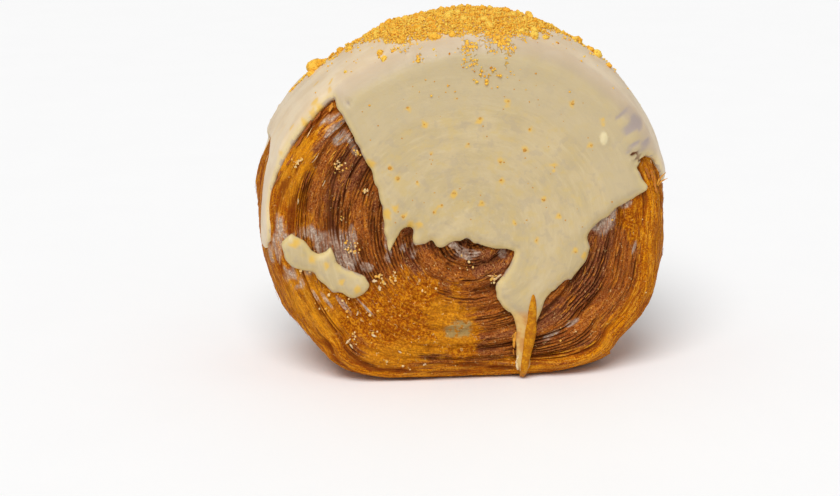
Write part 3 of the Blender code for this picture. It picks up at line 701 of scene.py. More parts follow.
def icing_facts(chart, base, edge_distance, side):
    """The icing's thickness at each chart point, and the facts that its material needs."""
    x, z = chart.T / MM
    front = side == FRONT
    strip = smooth_step(*STRIP_X, x) * smooth_step(*STRIP_Z, z) * front
    tail = smooth_step(*TAIL_Z, z) * (x > TAIL_FROM) * front
    end = smooth_step(*END_X, x) * smooth_step(*END_Z, z)
    thick = ICING_THICK * (1 - 0.62 * strip) * (1 - 0.6 * tail) * (1 - 0.3 * end)
    rise = np.clip(edge_distance / (ICING_ROUND * (1 - 0.4 * strip)), 0, 1)
    height = ICING_LIP + (thick - ICING_LIP) * (1 - (1 - rise) ** 2)
    height += 0.8 * CRUMB_BED * heap_share(base) * rise
    # Ripples round the winding's centre, broad lumps and the powder's grit.
    place = base / MM
    reach, turn = polar_of(chart - np.array(WINDING_CENTRE))
    reach /= MM
    ripple = np.sin(2 * math.pi * (reach / RIPPLE_LENGTH - turn / (2 * math.pi) + 1.1 * grain(place, 9, 70)))
    ripple *= grain(place, 7, 71) * np.clip(1.3 - reach / 60, 0, 1)
    lumps = grain(place, 7, 72) - 0.5 + 0.35 * (grain(place, 2.6, 73) - 0.5)
    uneven = (RIPPLE_HEIGHT * ripple + LUMP_HEIGHT * lumps) * rise * (1 - 0.7 * np.maximum(strip, tail))
    powder = powder_share(chart, side) * rise
    uneven += powder * (0.4 * grain(place, 1.3, 74) + 0.6 * grain(place, 0.8, 75) - 0.3)
    # The marks of the front: a drop, a hole, a thin patch with two slits, and stains.
    drop = bump(np.hypot((x - DROP[0]) / DROP_RADII[0], (z - DROP[1]) / DROP_RADII[1])) * front
    hole = bump(np.hypot(x - HOLE[0], z - HOLE[1]) / HOLE_RADIUS) * front
    streaks = np.column_stack([x + z * 0.5, (z - x * 0.5) * 2.2, 0 * x])
    thin = blobs(chart, THIN, 0.5, 80, 0.5) * front * smooth_step(0.30, 0.90, grain(streaks, 2.8, 81))
    slit, stain = np.zeros(len(chart)), np.zeros(len(chart))
    if front:
        for at_x, at_z, half in SLITS:
            across = (z - at_z + SLIT_FALL * (x - at_x)) / SLIT_HALF
            slit = np.maximum(slit, bump((x - at_x) / half) * bump(across))
        for at_x, at_z, radius in SPECKS + STAINS:
            away = np.hypot(x - at_x, 0.8 * (z - at_z)) + 1.6 * (grain(place, 0.9, 83) - 0.5)
            stain = np.maximum(stain, bump(np.maximum(away, 0) / (0.6 + 0.9 * radius)))
    uneven += DROP_HEIGHT * drop - HOLE_DEPTH * hole - THIN_DEPTH * thin * rise - SLIT_DEPTH * slit
    rho, theta = polar_of(chart)
    over = rho - face_radius(theta)
    upper = chart[:, 1] > 0
    facts = {
        "powder": powder, "tail": tail, "thin": np.maximum(thin, 0.7 * hole), "slit": slit, "drop": drop,
        "rim": smooth_step(0.6, 1.5, over / EDGE_ROUND), "near_edge": 1 - rise, "stain": stain,
        "outer": smooth_step(-11 * MM, -7 * MM, over) * upper,
        # painted shade in a band past the face's edge, upper half only
        "fold_shade": bump((over - FOLD_AT) / FOLD_HALF) * upper,
        "flow": np.column_stack([reach, 5 * np.cos(turn) + side * SIDE_SHIFT, 5 * np.sin(turn)]),
    }
    return height + uneven * MM, facts


def sheet(loop, free_edge, side, closed):
    chart, faces = fill(loop, ICING_SPACING)
    base, normals = skin(chart, side)
    rho, theta = polar_of(chart)
    bend = (rho - face_radius(theta)) / (EDGE_ROUND * math.pi / 2)
    gap = ICING_GAP + EDGE_GAP * np.clip(2 - np.abs(4 * bend - 2), 0, 1)
    height, facts = icing_facts(chart, base, distance_to(free_edge, chart, closed), side)
    return {
        "low": base - normals * ICING_ROOT, "high": base + normals * (gap + height)[:, None],
        "faces": faces, "chart": chart, "side": np.full(len(chart), side), "facts": facts,
    }


def walls(half):
    """Faces that close a sheet along its free edge: edges that one triangle has, but for the seam's."""
    count = len(half["low"])
    rho, theta = polar_of(half["chart"])
    seam = np.abs(rho - mid_rim(theta)) < 1e-7
    used = {}
    for a, b, c in half["faces"]:
        for edge in ((a, b), (b, c), (c, a)):
            used.setdefault(frozenset(edge), []).append(edge)
    free = [found[0] for found in used.values() if len(found) == 1]
    return [[b, a, a + count, b + count] for a, b in free if not (seam[a] and seam[b])]


def sheet_piece(name, halves, node, finish):
    """One closed mesh from a sheet's halves, with its attributes and UV map."""
    points, faces, charts, sides, under, facts = [], [], [], [], [], {}
    start = 0
    for half in halves:
        count = len(half["low"])
        points += [half["low"], half["high"]]
        triangles = np.array(half["faces"])
        faces += (start + triangles).tolist()
        faces += (start + count + triangles[:, ::-1]).tolist()
        faces += [[start + k for k in wall] for wall in walls(half)]
        charts += [half["chart"]] * 2
        sides += [half["side"]] * 2
        under += [np.ones(count, bool), np.zeros(count, bool)]
        for key, values in half["facts"].items():
            facts.setdefault(key, []).extend([values, values])
        start += 2 * count
    made = add_mesh(name, np.concatenate(points), faces, finish)
    for key, values in facts.items():
        set_fact(made, key, np.concatenate(values))
    lay_out(made, np.concatenate(charts), np.concatenate(sides), np.concatenate(under))
    face_out(made, merge=1e-6)
    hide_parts(node)


def back_edge():
    """The icing's edge behind, from the left: each drip's neck, bulb and tip, and the bay beside it."""
    corners = []
    following = [(x, half) for x, _, half, _ in BACK_DRIPS[1:]] + [(BACK_END[0], 0)]
    for (x, tip, half, top), (right, next_half) in zip(BACK_DRIPS, following):
        neck, bulb = tip + DRIP_NECK * half, tip + DRIP_BULB * half
        corners += [(x - DRIP_WAIST * half, neck), (x - half, bulb), (x, tip), (x + half, bulb)]
        corners += [(x + DRIP_WAIST * half, neck), (x + DRIP_FLARE * half, top - BAY_ROUND)]
        corners += [((x + right) / 2, top), (right - DRIP_FLARE * next_half, top - BAY_ROUND)]
    return [*corners[:-2], BACK_END]


def poured_icing(finish):
    fan = np.linspace(ICING_RIGHT, ICING_LEFT, ARC_POINTS)
    arc = polar(mid_rim(fan), fan)
    halves = []
    for side, corners in ((FRONT, FRONT_EDGE), (BACK, back_edge())):
        edge = smooth_outline([arc[-1], *(np.array(corners) * MM), arc[0]], OUTLINE_SPACING, closed=False)
        edge = ragged(edge, 90, ends=8)
        halves.append(sheet(np.concatenate([edge, arc[1:-1]]), edge, side, closed=False))
    sheet_piece("poured_icing", halves, "icing", finish)


def smeared_icing(finish):
    loop = ragged(smooth_outline(np.array(SMEAR) * MM, OUTLINE_SPACING, closed=True), 95)
    halves = [sheet(loop, loop, FRONT, closed=True)]
    sheet_piece("smeared_icing", halves, "icing_smear", finish)


# --- Crumbs, specks and flakes ---

def icing_surface(chart, side):
    """Where the icing's upper surface lies at chart points, and its normal."""
    base, normals = skin(chart, side)
    height, _ = icing_facts(chart, base, np.full(len(chart), ICING_ROUND), side)
    return base + normals * (ICING_GAP + height)[:, None], normals


def lumps(name, centres, sizes, subdivisions, seed, finish, slot, squash=None, normals=None):
    """Uneven lumps as one mesh. squash flattens them along their normals."""
    mesh = bmesh.new()
    bmesh.ops.create_icosphere(mesh, subdivisions=subdivisions, radius=1)
    ball = np.array([v.co[:] for v in mesh.verts])
    ball_faces = np.array([[v.index for v in f.verts] for f in mesh.faces])
    mesh.free()
    draw = np.random.default_rng(seed)
    count = len(centres)
    rough = 1 + draw.uniform(-0.28, 0.28, (count, len(ball)))
    if subdivisions > 1:
        spots = (ball[None] * 1.7 + draw.uniform(0, 50, (count, 1, 3))).reshape(-1, 3)
        rough = 0.62 + 0.55 * grain(spots, 1.0, seed) + 0.32 * grain(spots, 0.45, seed + 1)
        rough = rough.reshape(count, -1)
    stretch = draw.uniform(0.75, 1.2, (count, 1, 3))
    offsets = ball[None] * rough[..., None] * stretch * np.asarray(sizes)[:, None, None]
    if squash is not None:
        along = np.einsum("nkc,nc->nk", offsets, normals)
        offsets -= along[..., None] * normals[:, None] * (1 - squash)
    points = (np.asarray(centres)[:, None] + offsets).reshape(-1, 3)
    faces = (ball_faces[None] + np.arange(count)[:, None, None] * len(ball)).reshape(-1, 3)
    made = add_mesh(name, points, faces.tolist(), finish)
    set_fact(made, "tone", np.repeat(draw.uniform(0, 1 if subdivisions < 3 else 0.9, count), len(ball)))


def crumb_places():
    """(angle, y, radius) of each crumb that the solid has: the same draws as in the part's source."""
    draw = random.Random(CRUMB_SEED)
    places = [(math.radians(a), y * MM, r * MM) for a, y, r in LONE_CRUMBS]
    for radius in HEAP_SIZES:
        for _ in range(HEAP_TRIES):
            angle = HEAP_MIDDLE + HEAP_REACH * draw.uniform(-1, 1)
            y = draw.uniform(*HEAP_DEPTHS)
            gaps = [math.hypot((angle - a) * AXIS_HEIGHT, y - b) / (radius + r) for a, b, r in places]
            if min(gaps) > HEAP_SPACING:
                places.append((angle, y, radius))
                break
    return places


def rim_halves(angles, depths):
    """For each side, which places lie there and their chart points. depths run along the skin from
    the middle of the rim, below zero in front."""
    for side in (FRONT, BACK):
        here = (depths < 0) == (side == FRONT)
        yield side, here, polar(mid_rim(angles[here]) - np.abs(depths[here]), angles[here])


def on_icing(angles, depths):
    points, normals = np.zeros((2, len(angles), 3))
    for side, here, chart in rim_halves(angles, depths):
        points[here], normals[here] = icing_surface(chart, side)
    return points, normals


def big_crumbs(finish):
    angles, depths, radii = np.array(crumb_places()).T
    points, normals = on_icing(angles, depths)
    centres = points + normals * (radii * 0.1)[:, None]
    lumps("crumb_lumps", centres, radii * 0.86, 3, 5, finish, "poured_icing")


def fine_crumbs(finish):
    """Loose crumbs: thick over the heap and on its lumps, thinning out round it."""
    draw = np.random.default_rng(11)
    angles = np.radians(draw.uniform(*FINE_ANGLES, FINE_DRAWS))
    depths = draw.uniform(*FINE_DEPTHS, FINE_DRAWS) * MM
    chance = np.zeros(FINE_DRAWS)
    for side, here, chart in rim_halves(angles, depths):
        chance[here] = powder_share(chart, side) ** 1.3 * (1 if side == FRONT else FINE_BACK)
    aside = (np.degrees(angles) - STRAY_MIDDLE) / STRAY_ANGLE
    stray = np.exp(-(aside**2) - (depths / MM / STRAY_DEPTH) ** 2)
    kept = draw.uniform(0, 1, FINE_DRAWS) < chance * 0.3 + stray * 0.016
    keep = np.flatnonzero(kept)[:FINE_CRUMBS]
    points, normals = on_icing(angles[keep], depths[keep])
    sizes = FINE_SIZES[0] + (FINE_SIZES[1] - FINE_SIZES[0]) * draw.uniform(0, 1, len(keep)) ** 2.2
    centres = points + normals * sizes[:, None] * 0.4
    angles, depths, radii = np.array(crumb_places()).T
    tops, up = on_icing(angles, depths)
    which = np.repeat(np.arange(len(radii)), GRAINS_ON_LUMPS)
    around = draw.normal(0, 1, (len(which), 3))
    on_lumps = tops[which] + unit(around + up[which] * 0.6) * (radii[which] * 0.8)[:, None]
    centres = np.concatenate([centres, on_lumps])
    sizes = np.concatenate([sizes, draw.uniform(*FINE_SIZES, len(which)) * 0.8])
    lumps("fine_crumbs", centres, sizes, 1, 12, finish, "poured_icing")


def specks(finish):
    """Crumbs caught in the icing, all but their tops sunk in it: the placed ones, and loose ones on
    both faces."""
    table = np.array(SPECKS)
    draw = np.random.default_rng(21)
    reach = np.sqrt(draw.uniform(0, 1, LOOSE_SPECKS)) * SPECK_REACH
    loose = polar(reach, draw.uniform(-0.1, math.pi, LOOSE_SPECKS)) - [0, SPECK_DROP]
    chart = np.concatenate([table[:, :2], loose]) * MM
    free = icing_room(chart, FRONT) > SPECK_ROOM
    sizes = np.concatenate([table[:, 2] * 0.6, draw.uniform(0.1, 0.22, LOOSE_SPECKS)]) * MM
    back = chart[len(table):] * [-1, 1] + [0, SPECK_BACK_RISE]
    back = back[icing_room(back, BACK) > SPECK_ROOM]
    sizes = np.concatenate([sizes[free], draw.uniform(0.15, 0.45, len(back)) * MM])
    found = zip(icing_surface(chart[free], FRONT), icing_surface(back, BACK))
    points, normals = (np.concatenate(both) for both in found)
    lumps("icing_specks", points, sizes, 2, 22, finish, "poured_icing", squash=0.18, normals=normals)


def icing_loop(side):
    """The edge of the poured icing on one half, closed far above the roll, at chart points."""
    corners = FRONT_EDGE if side == FRONT else back_edge()
    return np.array([(-90, 16), *corners, (90, 6), (80, 80), (-80, 80)]) * MM


def icing_room(chart, side):
    """How far inside the poured icing's edge each chart point lies; below zero outside it."""
    loop = icing_loop(side)
    away = distance_to(loop, chart, closed=True)
    return np.where(inside(loop, chart), away, -away)


def bare_places(draw, count, reach_low, reach_high, front_share=0.7):
    """Random chart points on the bare crust, each with its side. A reach is a share of the way to the
    face's edge, and past 1 it goes on over the rim."""
    found = []
    while len(found) < count:
        side = FRONT if draw.uniform() < front_share else BACK
        theta = draw.uniform(0, 2 * math.pi)
        reach = math.sqrt(draw.uniform(reach_low**2, reach_high**2))
        chart = winding_point(np.array([min(reach, 1.0)]), np.array([theta]))
        if reach > 1:
            chart = polar(face_radius(np.array([theta])) + (reach - 1) * RIM_REACH, np.array([theta]))
        if icing_room(chart, side)[0] > -0.8 * MM or foot_share(theta) > 0.4:
            continue
        found.append((chart[0], side))
    return found


def surface_frame(chart, side):
    """The crust's point, normal and the directions along and across the winding at one chart point."""
    base, normals = skin(chart[None], side)
    point, normal = base[0], normals[0]
    middle = np.array([WINDING_CENTRE[0], point[1], AXIS_HEIGHT + WINDING_CENTRE[1]])
    along = np.cross(normal, point - middle)
    if np.linalg.norm(along) < 1e-6 or abs(normal[1]) < 0.3:
        along = np.cross(normal, [0, 1, 0])
    along = unit(along)
    return point, normal, along, np.cross(normal, along)


def tube(rings):
    """Points and faces of a closed tube through rings of points."""
    count, sides = rings.shape[:2]
    faces = [list(range(sides))[::-1]]
    for k in range(count - 1):
        a, b = sides * k, sides * (k + 1)
        faces += [[a + i, a + (i + 1) % sides, b + (i + 1) % sides, b + i] for i in range(sides)]
    faces.append(list(range(sides * (count - 1), sides * count)))
    return rings.reshape(-1, 3), faces


def ribbon(path, widths, thickness, normals):
    """Points and faces of a thin closed strip along a path."""
    across = unit(np.cross(unit(np.gradient(path, axis=0)), normals))
    half = across * widths[:, None] / 2
    up = normals * thickness
    return tube(np.stack([path - half, path - half * 0.6 + up, path + half * 0.6 + up, path + half], axis=1))


# Flakes placed on the front: (chart x, chart z, length, width, turn, lift, tone), sizes in
# millimetres, turn in degrees from the winding's direction, lift the rise of the free end.
TORN_FLAKES = [
    (-30.0, -34.5, 1.9, 0.7, 100, 0.2, 0.97), (-29.2, -35.8, 1.3, 0.5, -10, 0.2, 0.97),
    (-23.6, -33.2, 1.3, 0.6, 20, 0.2, 0.95), (-23.3, -19.1, 1.3, 0.8, 70, 0.3, 0.97),
    (-22.1, -20.9, 1.2, 1.0, -20, 0.3, 0.97), (-11.0, -41.2, 0.9, 0.6, 50, 0.2, 0.97),
    (-17.2, -37.6, 1.0, 0.5, 0, 0.2, 0.95), (-19.1, -19.3, 2.2, 0.8, 10, 0.3, 0.88),
    (-27.6, -27.4, 1.3, 0.4, 130, 0.2, 0.97), (12.9, -33.6, 5.4, 1.6, 66, 0.4, 0.97),
    (11.6, -35.4, 4.6, 0.8, 62, 0.7, 0.75), (12.7, -38.0, 6.0, 1.1, 68, 0.4, 0.97),
    (12.5, -41.4, 4.2, 1.0, 70, 0.6, 0.95), (11.4, -34.0, 2.2, 0.4, 40, 0.8, 0.7),
    (11.4, -38.6, 2.0, 0.4, 78, 0.8, 0.6), (46.6, 5.0, 4.0, 1.2, 8, 0.4, 0.5),
    (47.2, 3.0, 4.5, 1.0, 4, 0.8, 0.55), (45.0, 6.4, 3.4, 1.0, 10, 0.3, 0.3),
    (48.6, 4.2, 3.2, 0.9, -38, 2.2, 0.75), (49.2, 3.4, 2.4, 0.5, -60, 2.0, 0.8),
    (-33.6, 24.6, 2.6, 1.4, 35, 0.5, 0.65), (7.2, -18.8, 2.4, 0.7, 10, 0.8, 0.93),
    (5.6, -18.4, 1.8, 0.5, -30, 0.8, 0.9), (-41.4, 16.2, 3.4, 0.8, 6, 0.6, 0.2),
    (-39.4, 19.8, 3.6, 0.8, 10, 0.6, 0.15), (-43.6, 11.6, 3.0, 0.8, 0, 0.5, 0.2),
    (-46.6, 7.2, 3.2, 0.8, 4, 0.6, 0.2), (-37.0, 22.4, 3.0, 0.8, 12, 0.6, 0.2),
]


def flakes(finish):
    """Slivers of crust that lift off along the winding, and the torn flakes of the front."""
    draw = np.random.default_rng(31)
    points, faces, tones = [], [], []

    def add(chart, side, long, wide, turn, lift, tone, steps=6):
        point, normal, along, across = surface_frame(chart, side)
        way = along * math.cos(turn) + across * math.sin(turn)
        t = np.linspace(0, 1, steps)
        bend = draw.uniform(-0.25, 0.25) * long
        sideways = np.cross(normal, way)
        path = point + np.outer((t - 0.5) * long, way) + np.outer(bend * (t - 0.5) ** 2, sideways)
        path += np.outer(lift * t**2 - 0.12 * MM, normal)
        widths = wide * np.sin(math.pi * (0.12 + 0.76 * t)) * draw.uniform(0.5, 1.3, steps)
        thick = max(0.07 * MM, 0.12 * wide)
        made, shell = ribbon(path, widths, thick, np.repeat(normal[None], steps, axis=0))
        start = sum(len(p) for p in points)
        points.append(made)
        faces.extend([[start + k for k in face] for face in shell])
        tones.extend([tone] * len(made))

    for chart, side in bare_places(draw, SLIVERS, 0.15, 1.2):
        long = draw.uniform(0.8, 3.0) * MM
        tone = draw.uniform(0, 0.7) if draw.uniform() < 0.975 else draw.uniform(0.9, 1.0)
        wide, turn = draw.uniform(0.12, 0.3) * MM, draw.uniform(-0.18, 0.18)
        add(chart, side, long, wide, turn, draw.uniform(0, 0.2) * MM, tone)
    for x, z, long, wide, turn, lift, tone in TORN_FLAKES:
        chart = np.array([x, z]) * MM
        add(chart, FRONT, long * MM, wide * MM, math.radians(turn), lift * MM, tone, 9)
    piece = add_mesh("crust_flakes", np.concatenate(points), faces, finish)
    face_out(piece)
    set_fact(piece, "tone", tones)


# Bits of dried icing and pale crumb on the front crust: (chart x, chart z, how many, spread), millimetres.
BIT_CLUSTERS = [
    (-31.6, 9.8, 22, 1.7), (-41.8, 11.2, 20, 1.6), (-25.4, 4.4, 8, 0.8), (-27.1, 13.4, 10, 1.0),
    (-31.1, -2.9, 5, 0.6), (-22.0, -17.8, 9, 0.8), (-21.1, -19.5, 9, 0.8), (-18.7, -17.7, 12, 1.2),
    (-30.1, -24.4, 4, 1.4), (-24.6, -26.6, 5, 2.0), (-28.4, -33.3, 6, 1.0), (-23.4, -32.2, 5, 0.8),
    (-28.8, -10.5, 22, 2.0), (-20.3, -39.9, 4, 0.8), (6.3, -19.3, 14, 1.2), (-1, -15, 8, 5),
    (-10, -19, 8, 5), (23, -35, 4, 3), (-36, -24, 8, 4), (-26, -30, 8, 9), (-10, -38, 8, 8),
    (-41, -16, 7, 2.5), (-50, -14, 6, 1.8),
]
LOOSE_BITS = 60


def bits(finish):
    draw = np.random.default_rng(41)
    places = []
    for x, z, count, spread in BIT_CLUSTERS:
        for _ in range(count):
            places.append((np.array([x, z]) * MM + draw.normal(0, 0.5 * spread * MM, 2), FRONT))
    places += bare_places(draw, LOOSE_BITS, 0.3, 1.1, front_share=0.1)
    found = [[values[0] for values in skin(chart[None], side)] for chart, side in places]
    centres, normals = np.array(found).transpose(1, 0, 2)
    bare = np.array([icing_room(chart[None], side)[0] < -0.3 * MM for chart, side in places])
    sizes = 0.12 * MM + 0.24 * MM * draw.uniform(0, 1, len(places)) ** 1.6
    lumps(
        "crust_bits", centres[bare], sizes[bare], 2, 42, finish, "crust", squash=0.4, normals=normals[bare]
    )


def syrup(finish):
    """The strand of syrup that runs down the tail of the icing to the foot."""
    strand = np.array(STRAND) * MM
    line = smooth_outline(strand[:, :2], STRAND_STEP, closed=False)
    t = np.linspace(0, len(STRAND) - 1, len(line))
    halves = np.interp(t, np.arange(len(STRAND)), strand[:, 2])
    run = unit(np.gradient(line, axis=0))
    aside = np.stack([-run[:, 1], run[:, 0]], axis=1)
    lifted = STRAND_LIFTS[0] + STRAND_LIFTS[1] * smooth_step(*STRAND_SINKS, line[:, 1] / MM)
    rings = []
    for turn in 2 * math.pi * np.arange(STRAND_SIDES) / STRAND_SIDES:
        base, normals = skin(line + aside * (halves * math.cos(turn))[:, None], FRONT)
        thick = (0.6 if math.sin(turn) > 0 else 0.5) * math.sin(turn) * halves
        uneven = 0.25 * (grain(base / MM, 1.8, 100) - 0.5) * MM * max(math.sin(turn), 0)
        rings.append(base + normals * (lifted + thick + uneven)[:, None])
    points, faces = tube(np.stack(rings, axis=1))
    points[:, 2] = np.maximum(points[:, 2], 0)
    made = add_mesh("syrup_strand", points, faces, finish)
    face_out(made)


# --- Materials ---

class Shader:
    """A material's node tree, built up by short calls."""

    def __init__(self, name, **constants):
        self.material = bpy.data.materials.new(name)
        self.material.use_nodes = True
        self.tree = self.material.node_tree
        self.main = self.tree.nodes["Principled BSDF"]
        self.set(**constants)

    def set(self, **sockets):
        for key, value in sockets.items():
            self.put(self.main.inputs[key.replace("_", " ")], value)
        return self.material

    def put(self, socket, value):
        if isinstance(value, bpy.types.NodeSocket):
            self.tree.links.new(value, socket)
        elif socket.type == "RGBA":
            socket.default_value = (*value, 1)
        else:
            socket.default_value = value

    def node(self, kind, output, sockets, **settings):
        """One output of a new node, whose sockets are named or numbered."""
        made = self.tree.nodes.new("ShaderNode" + kind)
        for key, value in settings.items():
            setattr(made, key, value)
        for key, value in sockets.items():
            self.put(made.inputs[key], value)
        return made.outputs[output]

    def facts(self, *names, output="Fac"):
        """The attributes that crust_relief, icing_facts and lumps give the meshes."""
        return [self.node("Attribute", output, {}, attribute_name=name) for name in names]

    def noise(self, size, detail=2.0, vector=None, roughness=0.55, distortion=0.0):
        """Noise from 0 to 1 with features of that size: metres in object space, or vector's own units."""
        if vector is None:
            vector = self.node("TexCoord", "Object", {})
        sockets = {"Vector": vector, "Scale": 1 / size, "Detail": detail}
        return self.node("TexNoise", "Fac", {**sockets, "Roughness": roughness, "Distortion": distortion})

    def ramp(self, value, low, high, start=0.0, end=1.0):
        """A smooth step from start to end as value goes from low to high."""
        sockets = {"Value": value, "From Min": low, "From Max": high, "To Min": start, "To Max": end}
        return self.node("MapRange", "Result", sockets, interpolation_type="SMOOTHSTEP")

    def math(self, operation, a, b):
        return self.node("Math", 0, {0: a, 1: b}, operation=operation)

    def times(self, a, b):
        return self.math("MULTIPLY", a, b)

    def plus(self, first, *others):
        for other in others:
            first = self.math("ADD", first, other)
        return first

    def swing(self, value, by):
        """How far value is from 0.5, times by."""
        return self.times(self.math("SUBTRACT", value, 0.5), by)

    def mix(self, share, a, b):
        return self.node("Mix", 2, {0: share, 6: a, 7: b}, data_type="RGBA")

    def coats(self, colour, *coats):
        """colour under coats, each given by what drives it, the values of that where it starts and where
        it is full, its strength there, its tint and, where it has one, its mask."""
        for driver, start, full, strength, tint, *mask in coats:
            share = self.ramp(driver, start, full, 0.0, strength)
            colour = self.mix(self.times(share, mask[0]) if mask else share, colour, tint)
        return colour

    def bump(self, height, distance):
        return self.node("Bump", "Normal", {"Strength": 1.0, "Distance": distance, "Height": height})


def crust_finish():
    s = Shader("crust", Specular_IOR_Level=0.03)
    [flow] = s.facts("flow", output="Vector")
    golden, pit, film, purple, edge = s.facts("golden", "pit", "film", "purple", "edge")
    pale, crumble, band, bright = s.facts("pale", "crumble", "band", "bright")
    streak, fine = s.noise(0.75, 4, flow, 0.68), s.noise(0.30, 3, flow, 0.65)
    toasted, thread = s.noise(2.2, 4, flow, 0.7), s.noise(0.5, 3, flow, 0.7)
    broad, speckle, grit = s.noise(0.006), s.noise(0.0006, 3, None, 0.68), s.noise(0.00042, 3, None, 0.7)
    # Brown layers: chestnut and purple-brown, with golden and near-black threads.
    deep = s.coats((0.175, 0.044, 0.018), (fine, 0.42, 0.6, 1.0, (0.34, 0.112, 0.055)))
    wine = s.plus(s.times(purple, 0.55), s.swing(band, 2.4))
    brown = s.coats(
        (0.31, 0.074, 0.011),
        (streak, 0.40, 0.58, 1.0, (0.50, 0.135, 0.014)),
        (wine, 0.12, 0.5, 0.85, deep),
        (streak, 0.54, 0.66, 0.75, (0.68, 0.23, 0.018)),
        (fine, 0.55, 0.68, 0.7, (0.70, 0.31, 0.070)),
        (fine, 0.46, 0.34, 0.85, (0.085, 0.018, 0.005)),
        (grit, 0.52, 0.62, 0.6, (0.64, 0.27, 0.085)),
        (grit, 0.48, 0.38, 0.65, (0.11, 0.022, 0.008)),
    )
    # Golden crust: amber with paler and toasted threads, and grit where it crumbles.
    gold = s.coats(
        (0.48, 0.110, 0.002),
        (streak, 0.40, 0.60, 1.0, (0.80, 0.27, 0.003)),
        (fine, 0.54, 0.68, 0.75, (0.98, 0.46, 0.018)),
        (fine, 0.47, 0.35, 0.8, (0.28, 0.046, 0.005)),
        (broad, 0.50, 0.64, 0.55, (0.42, 0.086, 0.003)),
        (toasted, 0.52, 0.62, 0.6, (0.27, 0.045, 0.005)),
        (thread, 0.54, 0.62, 0.55, (1.0, 0.48, 0.045)),
        (thread, 0.47, 0.39, 0.65, (0.22, 0.036, 0.004)),
        (toasted, 0.46, 0.36, 0.4, (0.90, 0.40, 0.040)),
        (grit, 0.52, 0.62, 0.5, (0.98, 0.43, 0.012)),
        (grit, 0.49, 0.38, 0.65, (0.31, 0.056, 0.004)),
        (speckle, 0.53, 0.62, 0.7, (0.96, 0.42, 0.016), crumble),
        (speckle, 0.51, 0.41, 0.85, (0.24, 0.044, 0.003), crumble),
    )
    gold = s.mix(s.times(crumble, 0.3), gold, (0.42, 0.090, 0.002))
    gold = s.coats(gold, (bright, 0.1, 0.9, 0.3, (0.96, 0.42, 0.020)))
    # Both together, with shaded grooves, the pale spot, cream flecks and the film of glaze.
    shared = s.plus(golden, s.swing(streak, 2.4))
    shade = s.coats((0.080, 0.018, 0.004), (shared, 0.15, 0.85, 1.0, (0.21, 0.036, 0.005)))
    blotch = s.ramp(s.noise(0.0012, 3), 0.40, 0.52, 0.15, 1.0)
    cream = s.noise(0.0008, 2, None, 0.5, 1.0)
    ridges = s.times(s.ramp(pit, 0.8, 0.1), s.ramp(s.noise(0.55, 3, flow), 0.38, 0.56, 0.45, 1.0))
    sugar = s.coats((0.42, 0.30, 0.23), (speckle, 0.44, 0.60, 1.0, (0.72, 0.59, 0.47)))
    colour = s.coats(
        brown,
        (shared, 0.15, 0.85, 1.0, gold),
        (s.plus(pit, s.swing(grit, 1.6), s.swing(fine, 1.6)), 0.20, 0.85, 0.84, shade),
        (pale, 0.1, 0.8, 0.9, (0.42, 0.29, 0.11), blotch),
        (cream, 0.66, 0.72, 1.0, (0.84, 0.54, 0.22), s.ramp(edge, 1.0, 0.4, 0.3, 0.7)),
        (film, 0.05, 0.9, 0.9, sugar, ridges),
    )
    height = s.plus(s.times(fine, 0.8), s.times(speckle, 0.6), s.times(grit, 0.45))
    rough = s.ramp(s.plus(film, s.times(edge, 0.35)), 0.0, 1.0, 0.62, 0.42)
    return s.set(Base_Color=colour, Roughness=rough, Normal=s.bump(height, 0.0006))


